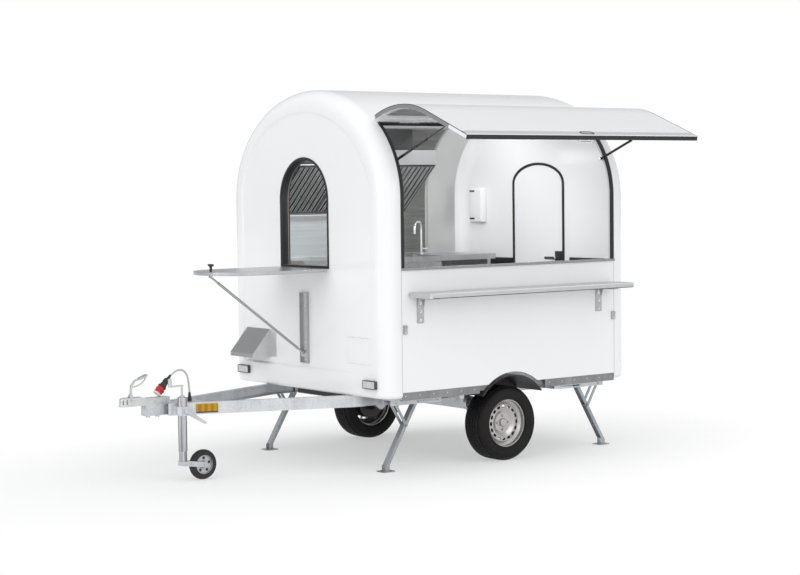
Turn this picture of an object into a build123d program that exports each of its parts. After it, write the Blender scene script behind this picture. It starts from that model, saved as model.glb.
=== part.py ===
import os
from math import acos, atan2, cos, degrees, pi, radians, sin, sqrt, tan

from build123d import *

os.makedirs("parts", exist_ok=True)

# All sizes are in millimetres. The trailer drives towards -X, serves towards -Y and stands on z = 0.

# Body: an arched box between two moulded end caps
shell_length = 1940
body_width = 1880
body_bottom = 555
spring_height = 1850
arch_rise = 755
wall = 30
cap_depth = 140
cap_bottom = 515
cap_round = 115
cap_foot_round = 25
recess_depth = 10
recess_slope = 14
recess_margin = 150
recess_bottom = 665

# Clearances
seat = 0.3
play = 0.06
loose = 1.0
door_gap = 4

# Wheels and axle
tyre_radius = 263
tyre_width = 195
rim_radius = 165
rim_flange = 17
rim_half = 70
rim_plate = 5
bead_slope = 4
bead_width = 28
well_half = 28
dish_edge = 22
dish_lip = 14
dish_crown = 18
dish_half = 3
pad_step = 16
bolt_size = 9
bolt_height = 12
wheel_inset = 148
vent_count = 16
vent_ring = 116
stub_radius = 17
arm_reach = 130
arm_width = 35
axle_tube = 80
axle_corner = 8
arm_boss = 50
arm_eye = 34
guard_gap = 77
rim_well = 145
dish_out = 40
hub_face = 30
hub_pad = 70
hub_cap = 30
hub_cap_height = 16
drum_radius = 110
drum_hub = 45
drum_inner = -60
drum_outer = 10
vent_length = 30
vent_height = 18
bolt_ring = 49
bolt_count = 4
tread_half = 64
shoulder = 17
tread_drop = 4
groove_at = 27
groove_width = 9
groove_depth = 7
guard_plate = 6
arch_margin = 22
guard_side_gap = 30
guard_end_height = 214
arm_clearance = 93
hub_clearance = 20

# Chassis
beam_top = 514
beam_height = 80
beam_width = 40
beam_wall = 4
beam_inset = 420
beam_bend_out = 80
beam_bend_radius = 260
beam_rear_gap = 50
drawbar_length = 1140
tube_wall = 5
tube_forward = 150
tube_behind = 93
floor_thickness = 40
skirt_height = 55
skirt_depth = 30
skirt_wall = 3
skirt_set_in = 5
cross_width = 50
cross_front_gap = 150
cross_middle = (-420, 300)
cross_rear_out = 50
outrigger_inset = 535
nose_plate_length = 260
skirt_start = 300

# Tow coupling
ball_forward = 295
ball_radius = 25
ball_fit = 0.2
head_radius = 35
head_width = 64
head_height = 58
head_behind = 35
handle_pin_back = 49
handle_pin_rise = 10
handle_half = 8
socket_depth = 20
shank_drop = 12
shank_start = 110
shank_slope = 40
head_taper = 4
head_round = 12
head_plate_length = 130
handle_ear = 11
handle_ear_plate = 5
handle_ear_foot = 34
handle_pin = 5
handle_bar = 11
handle_boss = 10
handle_bend = 18
handle_steps = ((4, 63), (30, 95), (104, 123))
grip_length = 70
grip_width = 44
grip_corner = 14
grip_hole_length = 34
grip_hole_width = 26
grip_hole_corner = 8
grip_back = 16
grip_hole_back = 6

# Serving hatch, its hinge and gas struts
hinge_inset = 240
hinge_stand = 24
knuckle_radius = 8
knuckle_pin = 4
knuckle_count = 11
hatch_stand = 8
hatch_thickness = 30
hatch_bottom = 1400
hatch_edge_gap = 3
hatch_neck = 10
hatch_overlap = 63
hatch_border = 40
hatch_tray = 4
hatch_round = 8
hatch_grip_x = 50
hatch_grip_in = 60
hatch_grip = 110
hatch_grip_out = 42
hatch_grip_bend = 12
hatch_grip_bar = 6
knuckle_end = 10
rail_leaf = 3
rail_leaf_width = 40
hatch_angle = 68
strut_inset = 45
strut_wall_in = 80
strut_wall_rise = 260
strut_hatch_drop = 131
strut_stud_depth = 20
strut_lug = 20
stud_radius = 5
stud_head = 1.5
gas_radius = 9
gas_rod = 4
gas_body_length = 335
gas_eye = 6
gas_overlap = 40

# Serving side
sill_height = 1386
sill_reach = 16
seal_width = 25
seal_out = 4
seal_depth = 32
seal_lip = 14
counter_front_gap = 60
counter_rear_gap = 30
counter_top = 1222
counter_thickness = 34
counter_reach = 238
counter_sheet = 3
counter_gap = 5
counter_corner = 12
counter_edge = 4
bracket_round = 6
bracket_drop = 2
counter_hinge_out = 22
bracket_inset = 155
bracket_width = 56
bracket_height = 168
bracket_plate = 12
bracket_arm = 40
bracket_rib = 8
counter_arm = 168
hinge_bolt = 4
ear_radius = 9
clip_height = 975
clip_length = 60
clip_width = 26
clip_depth = 16
clip_front_inset = 22
clip_rear_inset = 15

# Front window with its flap
window_half = 297
window_bottom = 1385
window_top = 2139
window_seal = 17
flap_half = 320
flap_length = 830
flap_thickness = 24
flap_axis_z = 1358
flap_axis_out = 20
flap_strut_at = 750
flap_strut_drop = 24
flap_strut_radius = 7
flap_rail_top = 1199
flap_rail_bottom = 702
flap_rail_half = 45
flap_rail_depth = 22
flap_foot_height = 766
flap_stations = (-190, 190)
flap_knuckle = 60
flap_pin_length = 150
flap_edge_gap = 4
flap_border = 34
flap_dish = 8
flap_knob_in = 84
stop_groove_in = 130
stop_groove = 6
knob_stem = 5
latch_length = 50
latch_width = 20
latch_height = 12
latch_stand = 36
latch_round = 4
knob_bore = 12
knob_collar = 9
knob_collar_height = 5
eye_wall = 5
fork_gap = 7
fork_lug = 8
rail_floor = 4
rail_lip = 6
slider_length = 14
slider_height = 44
window_lip = 4
access_knuckle = 4
access_knuckle_length = 40
access_pin = 2
cowl_tail = 74
cowl_lip = 28
cowl_fold = 8

# Smaller things on the front cap
cowl_inset = 340
cowl_width = 305
cowl_top = 915
cowl_bottom = 715
cowl_reach = 150
sheet = 2
access_inset = 320
access_z = 824
access_width = 262
access_height = 176
access_plate = 8
access_rim = 20
access_corner = 8
lamp_inset = 165
lamp_z = 608
lamp_width = 140
lamp_height = 55
lamp_depth = 22
lamp_round = 20
lamp_rim = 5
tail_inset = 240
tail_z = 606
tail_width = 220
tail_height = 100
reflector_back = 240
reflector_length = 146
reflector_depth = 12
reflector_height = 60
reflector_corner = 6

# Rear door
door_half = 285
door_bottom = 575
door_top = 2086
door_rise = 150
door_axis_out = 12
door_leaf = 3
door_leaf_width = 40
door_border = 60
door_panel = 5
door_knuckle_length = 60
door_knuckle_z = (900, 1750)
lever_z = 1370
lever_inset = 50
lever_length = 125
lever_stand = 55
lever_spindle = 6
lever_thickness = 12

# Galley along the far wall
worktop_top = 1400
worktop_depth = 610
worktop_thickness = 40
worktop_end_gap = 70
upright_x = -257
upright = 30
sink_width = 400
sink_depth = 340
bowl_depth = 140
bowl_sheet = 2
hood_front_gap = 120
hood_length = 1290
hood_front_y = 450
hood_bottom_rise = 240
hood_top_rise = 350
hood_low_drop = 125
hood_roof_gap = 17
hood_side_gap = 20
hood_side_rise = 50
hood_lip = 35
hood_foot = 50
hood_sheet = 3
filter_margin = 12
filter_rim = 14
filter_depth = 16
filter_count = 3
baffle_count = 9
tap_rear_gap = 490
tap_back_gap = 240
tap_height = 250
tap_reach = 180
tap_bend = 60
tap_tube = 10
tap_base = 24
tap_base_height = 14
tap_tip = 90
tap_lever_z = 40
tap_lever = 6
tap_lever_length = 70

# Corner steadies
steady_inset = 227
steady_front_gap = 180
steady_rear_gap = 80
steady_pin_z = 462
steady_lean = 31
steady_strut = 184
steady_foot_z = 6
steady_pin = 6
leg_half = 23
leg_depth = 24
leg_wall = 3
strut_plate = 5
strut_bar = 20
rail_half = 41
rail_wall = 4
foot_length = 100
foot_width = 90
foot_height = 40
fold_rest = 3.2
rail_skirt = 15
rail_over = 46
spindle_z = 492
spindle_radius = 8
leg_over = 14
pin_over = 4
spindle_under = 10
foot_corner = 10
foot_ear = 34

# Jockey wheel
jockey_back = 50
jockey_y = -155
jockey_tube = 30
jockey_inner = 26
jockey_tube_wall = 4
jockey_tube_top = 560
jockey_tube_bottom = 202
jockey_inner_bottom = 135
jockey_inner_top = 470
jockey_wheel = 100
jockey_wheel_width = 56
jockey_trail = 150
jockey_axle = 10
swivel_radius = 12
clamp_low = 440
clamp_high = 500
clamp_wall = 10
clamp_axis_z = 470
clamp_lever_x = 140
clamp_lever_drop = 85
clamp_foot = 42
clamp_neck = 28
clamp_lug = 44
clamp_lug_out = 10
clamp_boss = 15
clamp_tip = 9
lever_plate = 9
tube_cap = 8
tube_edge = 3
crank_shaft = 7
crank_height = 635
crank_arm = 90
knob_radius = 12
knob_height = 52
crank_foot = 480
fork_crown = 28
swivel_length = 90
fork_gap_side = 3
fork_plate = 4
crown_length = 68
crown_shift = 12
crown_corner = 8
fork_eye = 16
axle_over = 12
tread_crown = 12
hub_radius = 24
web_inner = 28
web_outer = 58
band_inner = 62
web_half = 10
collar_radius = 16
collar_height = 10
crank_boss = 11
crank_plate = 10

# Towing plug, parked on the coupling, and its cable
cable_radius = 6.5
plug_lean = 48
plug_rest_forward = 50
plug_length = 125
plug_radius = 28
plug_shroud = 45
plug_wall = 4
plug_pit = 27
plug_shoulder = 26
plug_waist = 22
plug_waist_at = 82
plug_tail = 11
plug_band = 3
plug_band_at = 31
plug_band_width = 11
cable_run = 80
cable_crown_back = 26
cable_crown_drop = 8
cable_drop = 82
bend_share = 0.45
gland_back = 200
gland_height = 26
gland_radius = 17
gland_cap = 14
gland_round = 4

half_length = shell_length / 2
half_width = body_width / 2
face = half_length + cap_depth
panel_face = face - recess_depth
inner_face = face - wall
half_track = half_width - wheel_inset
beam_spread = half_width - beam_inset
beam_bend_x = -(half_length + beam_bend_out)
beam_rear_x = face - beam_rear_gap
cross_places = (cross_front_gap - half_length, *cross_middle, half_length + cross_rear_out)
outrigger_places = (outrigger_inset - half_length, half_length - outrigger_inset)
nose_x = -(face + drawbar_length)
tube_front_x = nose_x - tube_forward
tube_back_x = nose_x + tube_behind
nose_plate_back = nose_x + nose_plate_length
ball_x = nose_x - ball_forward
head_back_x = nose_x + head_behind
handle_pin_x = ball_x + handle_pin_back
reflector_x = nose_x + reflector_back
jockey_x = nose_x + jockey_back
gland_x = nose_x + gland_back
plug_rest_x = nose_x - plug_rest_forward
strut_x = half_length - strut_inset
strut_wall_y = strut_wall_in - half_width
strut_wall_z = spring_height + strut_wall_rise
counter_front_x = counter_front_gap - half_length
counter_rear_x = half_length - counter_rear_gap
bracket_x = half_length - bracket_inset
clip_places = (clip_front_inset - half_length, half_length - clip_rear_inset)
cowl_y = half_width - cowl_inset
access_y = access_inset - half_width
lamp_y = half_width - lamp_inset
tail_y = half_width - tail_inset
worktop_front_y = half_width - wall - worktop_depth
worktop_length = shell_length - 2 * worktop_end_gap
tap_x = half_length - tap_rear_gap
tap_y = half_width - tap_back_gap
hood_front_x = hood_front_gap - half_length
hood_rear_x = hood_front_x + hood_length
hood_bottom = spring_height + hood_bottom_rise
hood_top = spring_height + hood_top_rise
hood_low = spring_height - hood_low_drop
hood_side_z = spring_height + hood_side_rise
steady_y = half_width - steady_inset
steady_front_x = steady_front_gap - half_length
steady_rear_x = half_length - steady_rear_gap
floor_top = beam_top + floor_thickness
skirt_in = half_width - wall - skirt_set_in
beam_mid = beam_top - beam_height / 2
tube_size = beam_height - 2 * beam_wall
tube_top = beam_mid + tube_size / 2

# The hatch turns about a hinge line that stands off the arch
hinge_y = -(half_width - hinge_inset)
hinge_z = spring_height + arch_rise * sqrt(1 - (hinge_y / half_width) ** 2)
hinge_normal = Vector(hinge_y / half_width**2, (hinge_z - spring_height) / arch_rise**2).normalized()
hinge_tangent = Vector(-hinge_normal.Y, hinge_normal.X)
hinge_point = Vector(hinge_y, hinge_z) + hinge_normal * hinge_stand


def swing(point, pivot, angle):
    turn = radians(angle)
    arm = point - pivot
    return pivot + Vector(arm.X * cos(turn) - arm.Y * sin(turn), arm.X * sin(turn) + arm.Y * cos(turn))


hatch_edge = Vector(-(half_width + hatch_stand + hatch_thickness), hatch_bottom)
hatch_reach = -swing(hatch_edge, hinge_point, -hatch_angle).X
front_reach = head_radius - ball_x
rear_reach = panel_face + lever_stand

# The origin is at the middle of the whole part, on the ground
mid_x = (front_reach - rear_reach) / 2
mid_y = (hatch_reach - half_width) / 2


def end_plane(x):
    return Plane(origin=(mid_x + x, mid_y, 0), x_dir=(0, 1, 0), z_dir=(1, 0, 0))


def side_plane(y):
    return Plane(origin=(mid_x, mid_y + y, 0), x_dir=(1, 0, 0), z_dir=(0, -1, 0))


def level(z):
    return Plane(origin=(mid_x, mid_y, z), x_dir=(1, 0, 0), z_dir=(0, 0, 1))


def along_axis(x, y, z, direction):
    return Plane(origin=(mid_x + x, mid_y + y, z), z_dir=direction)


def open_plane(x):
    closed = end_plane(x).location
    pivot = Pos(hinge_point.X, hinge_point.Y, 0)
    return Plane(closed * pivot * Rot(0, 0, -hatch_angle) * Pos(-hinge_point.X, -hinge_point.Y, 0))


def arch(grow, bottom):
    side = half_width + grow
    with BuildSketch() as outline:
        with BuildLine():
            Polyline((side, spring_height), (side, bottom), (-side, bottom), (-side, spring_height))
            EllipticalCenterArc((0, spring_height), side, arch_rise + grow, 0, arc_size=180)
        make_face()
    return outline.sketch


def doorway(half, bottom, top):
    with BuildSketch() as outline:
        with BuildLine():
            Polyline((half, top - half), (half, bottom), (-half, bottom), (-half, top - half))
            CenterArc((0, top - half), half, 0, 180)
        make_face()
    return outline.sketch


def door_outline(inset, bottom):
    half = door_half - inset
    rise = door_rise - inset
    with BuildSketch() as outline:
        with BuildLine():
            EllipticalCenterArc((0, door_top - door_rise), half, rise, start_angle=0, arc_size=180)
            Polyline((-half, door_top - door_rise), (-half, bottom), (half, bottom), (half, door_top - door_rise))
        make_face()
    return outline.sketch


def save(piece, name):
    piece.part.label = name
    export_step(piece.part, f"parts/{name}.step")


# The part of the cross-section on the serving side of the hinge line
far = 2 * body_width
hinge_cut = Vector(hinge_y, hinge_z)
above_hinge = hinge_cut + hinge_normal * wall * 3
below_hinge = hinge_cut - hinge_normal * wall * 3
serving_side = Polygon(
    (below_hinge.X, below_hinge.Y),
    (above_hinge.X, above_hinge.Y),
    (-far, above_hinge.Y),
    (-far, 0),
    (below_hinge.X, 0),
)
outer_arch = arch(0, body_bottom)
inner_arch = arch(-wall, body_bottom - wall)
window_cut = doorway(window_half, window_bottom - window_seal, window_top)
door_cut = door_outline(0, door_bottom - door_gap)


# Chassis frame: two bent channel beams, the coupling tube, cross members, outriggers and a nose plate
nose_y = (tube_size + beam_width) / 2
beam_angle = atan2(beam_spread - nose_y, beam_bend_x - nose_x)

with BuildPart() as chassis_frame:
    for side in (-1, 1):
        with BuildLine(level(beam_mid)) as run:
            FilletPolyline(
                (nose_x, side * nose_y),
                (beam_bend_x, side * beam_spread),
                (beam_rear_x, side * beam_spread),
                radius=beam_bend_radius,
            )
        inward = (sin(beam_angle), -side * cos(beam_angle), 0)
        with BuildSketch(Plane(origin=run.line @ 0, x_dir=inward, z_dir=run.line % 0)):
            Rectangle(beam_width, beam_height)
            with Locations((beam_wall, 0)):
                Rectangle(beam_width, beam_height - 2 * beam_wall, mode=Mode.SUBTRACT)
        sweep()
    with BuildSketch(end_plane(tube_front_x)):
        with Locations((0, beam_mid)):
            Rectangle(tube_size, tube_size)
            Rectangle(tube_size - 2 * tube_wall, tube_size - 2 * tube_wall, mode=Mode.SUBTRACT)
    extrude(amount=tube_back_x - tube_front_x)
    with BuildSketch(level(beam_mid)):
        for place in cross_places:
            with Locations((place, 0)):
                Rectangle(cross_width, 2 * beam_spread)
    extrude(amount=beam_height / 2 - beam_wall, both=True)
    with BuildSketch(level(beam_top - beam_width)):
        for place in outrigger_places:
            for side in (-1, 1):
                with Locations((place, side * (beam_spread + skirt_in) / 2)):
                    Rectangle(beam_width, skirt_in - beam_spread)
    extrude(amount=beam_width)
    nose_plate_half = nose_y + (nose_plate_back - nose_x) * tan(beam_angle)
    nose_plate_front = tube_back_x - 2 * tube_wall
    with BuildSketch(level(beam_mid + tube_size / 2 - 2 * tube_wall)):
        Polygon(
            (nose_plate_front, -nose_y),
            (nose_plate_back, -nose_plate_half),
            (nose_plate_back, nose_plate_half),
            (nose_plate_front, nose_y),
        )
    extrude(amount=2 * tube_wall)
save(chassis_frame, "chassis_frame")

# Floor panel, notched round the wheel boxes
guard_radius = tyre_radius + guard_gap
wheel_boxes = guard_radius + guard_plate + seat
guard_inner_y = half_track - tyre_width / 2 - guard_side_gap

with BuildPart() as floor_panel:
    with BuildSketch(level(beam_top)):
        RectangleRounded(2 * (inner_face - seat), 2 * (skirt_in - seat), cap_round - wall)
    extrude(amount=floor_thickness)
    for side in (-1, 1):
        with BuildSketch(side_plane(side * guard_inner_y)):
            with Locations((0, tyre_radius)):
                Circle(wheel_boxes)
        extrude(amount=-side * half_width, mode=Mode.SUBTRACT)
save(floor_panel, "floor_panel")

# Skirt rails under the side walls, cut at the wheel boxes
skirt_mid = skirt_in + skirt_depth / 2

with BuildPart() as skirt_rails:
    for start in (-half_length, skirt_start):
        with BuildSketch(end_plane(start)):
            for side in (-1, 1):
                with Locations((side * skirt_mid, body_bottom - skirt_height / 2)):
                    Rectangle(skirt_depth, skirt_height)
                with Locations((side * (skirt_mid - skirt_wall), body_bottom - skirt_height / 2)):
                    Rectangle(skirt_depth, skirt_height - 2 * skirt_wall, mode=Mode.SUBTRACT)
        extrude(amount=half_length - skirt_start)
save(skirt_rails, "skirt_rails")

# Wheel boxes: an arched guard with an inner cheek
with BuildPart() as mudguards:
    for side in (-1, 1):
        with BuildSketch(side_plane(side * guard_inner_y)):
            with Locations((0, tyre_radius)):
                Circle(guard_radius + guard_plate)
                Circle(guard_radius, mode=Mode.SUBTRACT)
            with Locations((0, tyre_radius + guard_end_height - guard_radius)):
                Rectangle(4 * guard_radius, 2 * guard_radius, mode=Mode.SUBTRACT)
        extrude(amount=-side * (half_width - guard_inner_y - skirt_wall))
        with BuildSketch(side_plane(side * guard_inner_y)):
            with Locations((0, tyre_radius)):
                Circle(guard_radius + guard_plate)
            with Locations((0, tyre_radius + guard_end_height - guard_radius)):
                Rectangle(4 * guard_radius, 2 * guard_radius, mode=Mode.SUBTRACT)
        extrude(amount=-side * guard_plate)
save(mudguards, "mudguards")

# Roof and far wall in one bent shell, open on the serving side
arch_radius = guard_radius + guard_plate + arch_margin

with BuildPart() as roof_shell:
    with BuildSketch(end_plane(-half_length)):
        add(outer_arch)
        add(inner_arch, mode=Mode.SUBTRACT)
        add(serving_side, mode=Mode.SUBTRACT)
    extrude(amount=shell_length)
    with BuildSketch(side_plane(half_width + wall)):
        with Locations((0, tyre_radius)):
            Circle(arch_radius)
    extrude(amount=3 * wall, mode=Mode.SUBTRACT)
save(roof_shell, "roof_shell")

# Lower panel of the serving side, with the wheel arch
with BuildPart() as serving_panel:
    with BuildSketch(side_plane(-half_width + wall)):
        with Locations((0, (body_bottom + sill_height) / 2 - sill_reach / 2)):
            Rectangle(shell_length, sill_height - body_bottom - sill_reach)
        with Locations((0, tyre_radius)):
            Circle(arch_radius, mode=Mode.SUBTRACT)
    extrude(amount=wall)
save(serving_panel, "serving_panel")

# Sill: a folded strip that caps the panel and drips outside it
with BuildPart() as sill_strip:
    with BuildSketch(end_plane(-half_length)):
        with Locations((-(half_width + sill_reach / 2 - wall / 2 - seat), sill_height - sill_reach / 2)):
            Rectangle(wall + sill_reach, sill_reach)
    extrude(amount=shell_length)
    outer_edges = sill_strip.edges().filter_by(Axis.X).group_by(Axis.Y)[0]
    fillet(outer_edges, radius=sill_reach / 4)
save(sill_strip, "sill_strip")


def cap_form(side, inset):
    with BuildPart() as form:
        with BuildSketch(end_plane(side * half_length)):
            add(arch(-inset, cap_bottom - cap_depth))
        extrude(amount=side * (cap_depth - inset))
        outer_face = form.faces().sort_by(Axis.X)[0 if side < 0 else -1]
        fillet(outer_face.edges().sort_by(Axis.Z)[1:], radius=cap_round - inset)
    return form.part


def cap_shell(side):
    with BuildPart() as shell:
        add(cap_form(side, 0))
        with BuildSketch(level(cap_bottom)):
            Rectangle(4 * face, 2 * body_width)
        extrude(amount=-2 * cap_depth, mode=Mode.SUBTRACT)
        outside = shell.edges().group_by(Axis.Z)[0]
        past_joint = outside.filter_by(lambda edge: abs(edge.center().X - mid_x) > half_length + seat)
        fillet(past_joint, cap_foot_round)
        add(cap_form(side, wall), mode=Mode.SUBTRACT)
        with BuildSketch(end_plane(side * face)):
            add(arch(-recess_margin, recess_bottom))
        with BuildSketch(end_plane(side * panel_face)):
            add(arch(-recess_margin - recess_slope, recess_bottom + recess_slope))
        loft(ruled=True, mode=Mode.SUBTRACT)
    return shell.part


# Front end cap: window, cowl vent, pocket of the access door, hinge leaf of the flap
flap_axis_x = -(panel_face + flap_axis_out)
access_axis_x = -(panel_face + access_knuckle)
access_axis_z = access_z + access_height / 2 + access_knuckle
vent_width = cowl_width * 0.7
vent_rise = (cowl_top - cowl_bottom) * 0.6

with BuildPart() as front_end_cap:
    add(cap_shell(-1))
    with BuildSketch(end_plane(-face)):
        add(window_cut)
        with Locations((cowl_y, (cowl_top + cowl_bottom) / 2)):
            Rectangle(vent_width, vent_rise)
        with Locations((access_y, access_z)):
            Rectangle(access_width - 2 * access_rim, access_height - 2 * access_rim)
    extrude(amount=cap_depth, mode=Mode.SUBTRACT)
    with BuildSketch(end_plane(-panel_face)):
        with Locations((access_y, access_z)):
            Rectangle(access_width + 2 * loose, access_height + 2 * loose)
    extrude(amount=access_plate + seat, mode=Mode.SUBTRACT)
    for place in flap_stations:
        with BuildSketch(side_plane(place)):
            with Locations((flap_axis_x, flap_axis_z)):
                Circle(knuckle_radius)
            with Locations((flap_axis_x + flap_axis_out / 2, flap_axis_z)):
                Rectangle(flap_axis_out, knuckle_radius)
        extrude(amount=flap_knuckle / 2, both=True)
        with BuildSketch(side_plane(place)):
            with Locations((flap_axis_x, flap_axis_z)):
                Circle(knuckle_pin)
        extrude(amount=flap_pin_length / 2, both=True)
    for side in (-1, 1):
        with BuildSketch(side_plane(access_y + side * access_width / 3)):
            with Locations((access_axis_x, access_axis_z)):
                Circle(access_knuckle)
            with Locations((access_axis_x + access_knuckle / 2, access_axis_z + access_knuckle / 2)):
                Rectangle(access_knuckle, access_knuckle)
        extrude(amount=access_knuckle_length / 2, both=True)
    with BuildSketch(side_plane(access_y)):
        with Locations((access_axis_x, access_axis_z)):
            Circle(access_pin)
    extrude(amount=access_width / 3, both=True)
save(front_end_cap, "front_end_cap")

# Front window seal: a frame lip round the opening, outside and inside the cap
with BuildPart() as window_frame:
    with BuildSketch(end_plane(-panel_face - window_lip)):
        add(doorway(window_half - seat, window_bottom - window_seal + seat, window_top - seat))
        add(doorway(window_half - window_seal, window_bottom, window_top - window_seal), mode=Mode.SUBTRACT)
    extrude(amount=window_lip + panel_face - inner_face + window_lip)
    lip_edges = window_frame.faces().sort_by(Axis.X)[0].outer_wire().edges()
    fillet(lip_edges, radius=window_lip / 2)
save(window_frame, "window_seal")

# Arched flap of the front window, folded down to a shelf on its hinge
flap_start = knuckle_radius + flap_edge_gap
flap_plane = level(flap_axis_z - flap_thickness / 2)
flap_top = flap_axis_z + flap_thickness / 2
flap_tip_x = flap_axis_x - flap_length
flap_pivot_x = flap_axis_x - flap_strut_at
flap_pivot_z = flap_axis_z - flap_strut_drop

with BuildPart() as front_flap:
    with BuildSketch(flap_plane):
        with BuildLine():
            Polyline(
                (flap_tip_x + flap_half, flap_half),
                (flap_axis_x - flap_start, flap_half),
                (flap_axis_x - flap_start, -flap_half),
                (flap_tip_x + flap_half, -flap_half),
            )
            CenterArc((flap_tip_x + flap_half, 0), flap_half, 90, 180)
        make_face()
    extrude(amount=flap_thickness)
    flap_faces = front_flap.faces().sort_by(Axis.Z)
    fillet(flap_faces[0].edges() + flap_faces[-1].edges(), radius=flap_thickness / 6)
    with BuildSketch(flap_plane):
        with BuildLine():
            Polyline(
                (flap_tip_x + flap_half, flap_half - flap_border),
                (flap_axis_x - flap_start - flap_border, flap_half - flap_border),
                (flap_axis_x - flap_start - flap_border, flap_border - flap_half),
                (flap_tip_x + flap_half, flap_border - flap_half),
            )
            CenterArc((flap_tip_x + flap_half, 0), flap_half - flap_border, 90, 180)
        make_face()
    extrude(amount=flap_dish, mode=Mode.SUBTRACT)
    for place in flap_stations:
        for side in (-1, 1):
            with BuildSketch(side_plane(place + side * (flap_knuckle / 2 + loose))):
                with Locations((flap_axis_x, flap_axis_z)):
                    Circle(knuckle_radius)
                with Locations((flap_axis_x - flap_start, flap_axis_z)):
                    Rectangle(2 * flap_start, knuckle_radius)
            extrude(amount=-side * (flap_pin_length - flap_knuckle) / 2)
        with BuildSketch(side_plane(place)):
            with Locations((flap_axis_x, flap_axis_z)):
                Circle(knuckle_pin + play)
        extrude(amount=flap_pin_length, both=True, mode=Mode.SUBTRACT)
    with BuildSketch(flap_plane):
        with Locations((flap_axis_x - flap_start - flap_border / 2, 0)):
            Rectangle(2 * flap_border, 3 * flap_strut_radius)
    extrude(amount=flap_thickness * 0.6, mode=Mode.SUBTRACT)
    for side in (-1, 1):
        with BuildSketch(side_plane(side * fork_gap)):
            with Locations((flap_pivot_x, flap_pivot_z)):
                Circle(fork_lug)
            with Locations((flap_pivot_x, (flap_pivot_z + flap_axis_z) / 2)):
                Rectangle(2 * fork_lug, flap_strut_drop)
        extrude(amount=-side * strut_plate)
    with BuildSketch(side_plane(0)):
        with Locations((flap_pivot_x, flap_pivot_z)):
            Circle(knuckle_pin)
    extrude(amount=fork_gap + strut_plate / 2, both=True)
    with BuildSketch(level(flap_top)):
        with Locations((flap_tip_x + flap_knob_in, 0)):
            Circle(knob_stem + play)
    extrude(amount=-knob_bore, mode=Mode.SUBTRACT)
    with BuildSketch(side_plane(0)):
        with Locations((flap_tip_x + stop_groove_in, flap_top)):
            Circle(stop_groove / 2)
    extrude(amount=2 * flap_half, both=True, mode=Mode.SUBTRACT)
save(front_flap, "front_flap")

# Turn knob near the flap's tip: closed and turned, its bar lies behind the edge of the window
with BuildPart() as flap_knob:
    with BuildSketch(level(flap_top - knob_bore + seat)):
        with Locations((flap_tip_x + flap_knob_in, 0)):
            Circle(knob_stem)
    extrude(amount=knob_bore - seat + latch_stand + latch_round)
    with BuildSketch(level(flap_top + seat)):
        with Locations((flap_tip_x + flap_knob_in, 0)):
            Circle(knob_collar)
    extrude(amount=knob_collar_height, taper=30)
    with BuildSketch(level(flap_top + latch_stand)):
        with Locations((flap_tip_x + flap_knob_in, 0)):
            SlotOverall(latch_length, latch_width, rotation=90)
    extrude(amount=latch_height)
    fillet(flap_knob.faces().sort_by(Axis.Z)[-1].edges(), radius=latch_round)
save(flap_knob, "flap_knob")

# Channel on the cap in which the strut's foot slides
rail_front_x = -(panel_face + flap_rail_depth)
with BuildPart() as flap_rail:
    with BuildSketch(level(flap_rail_bottom)):
        with Locations((-(panel_face + flap_rail_depth / 2), 0)):
            Rectangle(flap_rail_depth, 2 * flap_rail_half)
        with Locations((-(panel_face + flap_rail_depth / 2 + rail_floor), 0)):
            Rectangle(flap_rail_depth, 2 * (flap_rail_half - rail_lip), mode=Mode.SUBTRACT)
    extrude(amount=flap_rail_top - flap_rail_bottom)
    with BuildSketch(end_plane(rail_front_x)):
        for end in (flap_rail_bottom + rail_lip / 2, flap_rail_top - rail_lip / 2):
            with Locations((0, end)):
                Rectangle(2 * flap_rail_half, rail_lip)
    extrude(amount=flap_rail_depth)
save(flap_rail, "flap_rail")

# Strut that holds the flap: a tube with an eye at the top and a sliding foot
foot_x = -(panel_face + rail_floor + slider_length / 2 + loose)
strut_run = Vector(foot_x - flap_pivot_x, flap_foot_height - flap_pivot_z)
strut_lean = strut_run.normalized()
strut_eye = knuckle_pin + eye_wall

with BuildPart() as flap_strut:
    strut_top = along_axis(
        flap_pivot_x + strut_lean.X * strut_eye / 2,
        0,
        flap_pivot_z + strut_lean.Y * strut_eye / 2,
        (strut_lean.X, 0, strut_lean.Y),
    )
    with BuildSketch(strut_top):
        Circle(flap_strut_radius)
    extrude(amount=strut_run.length - strut_eye / 2)
    with BuildSketch(side_plane(0)):
        with Locations((flap_pivot_x, flap_pivot_z)):
            Circle(strut_eye)
    extrude(amount=fork_gap - loose, both=True)
    with BuildSketch(side_plane(0)):
        with Locations((flap_pivot_x, flap_pivot_z)):
            Circle(knuckle_pin + play)
    extrude(amount=fork_gap, both=True, mode=Mode.SUBTRACT)
    with BuildSketch(side_plane(0)):
        with Locations((foot_x, flap_foot_height)):
            RectangleRounded(slider_length, slider_height, slider_length / 4)
    extrude(amount=flap_rail_half - rail_lip - loose, both=True)
save(flap_strut, "flap_strut")

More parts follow.
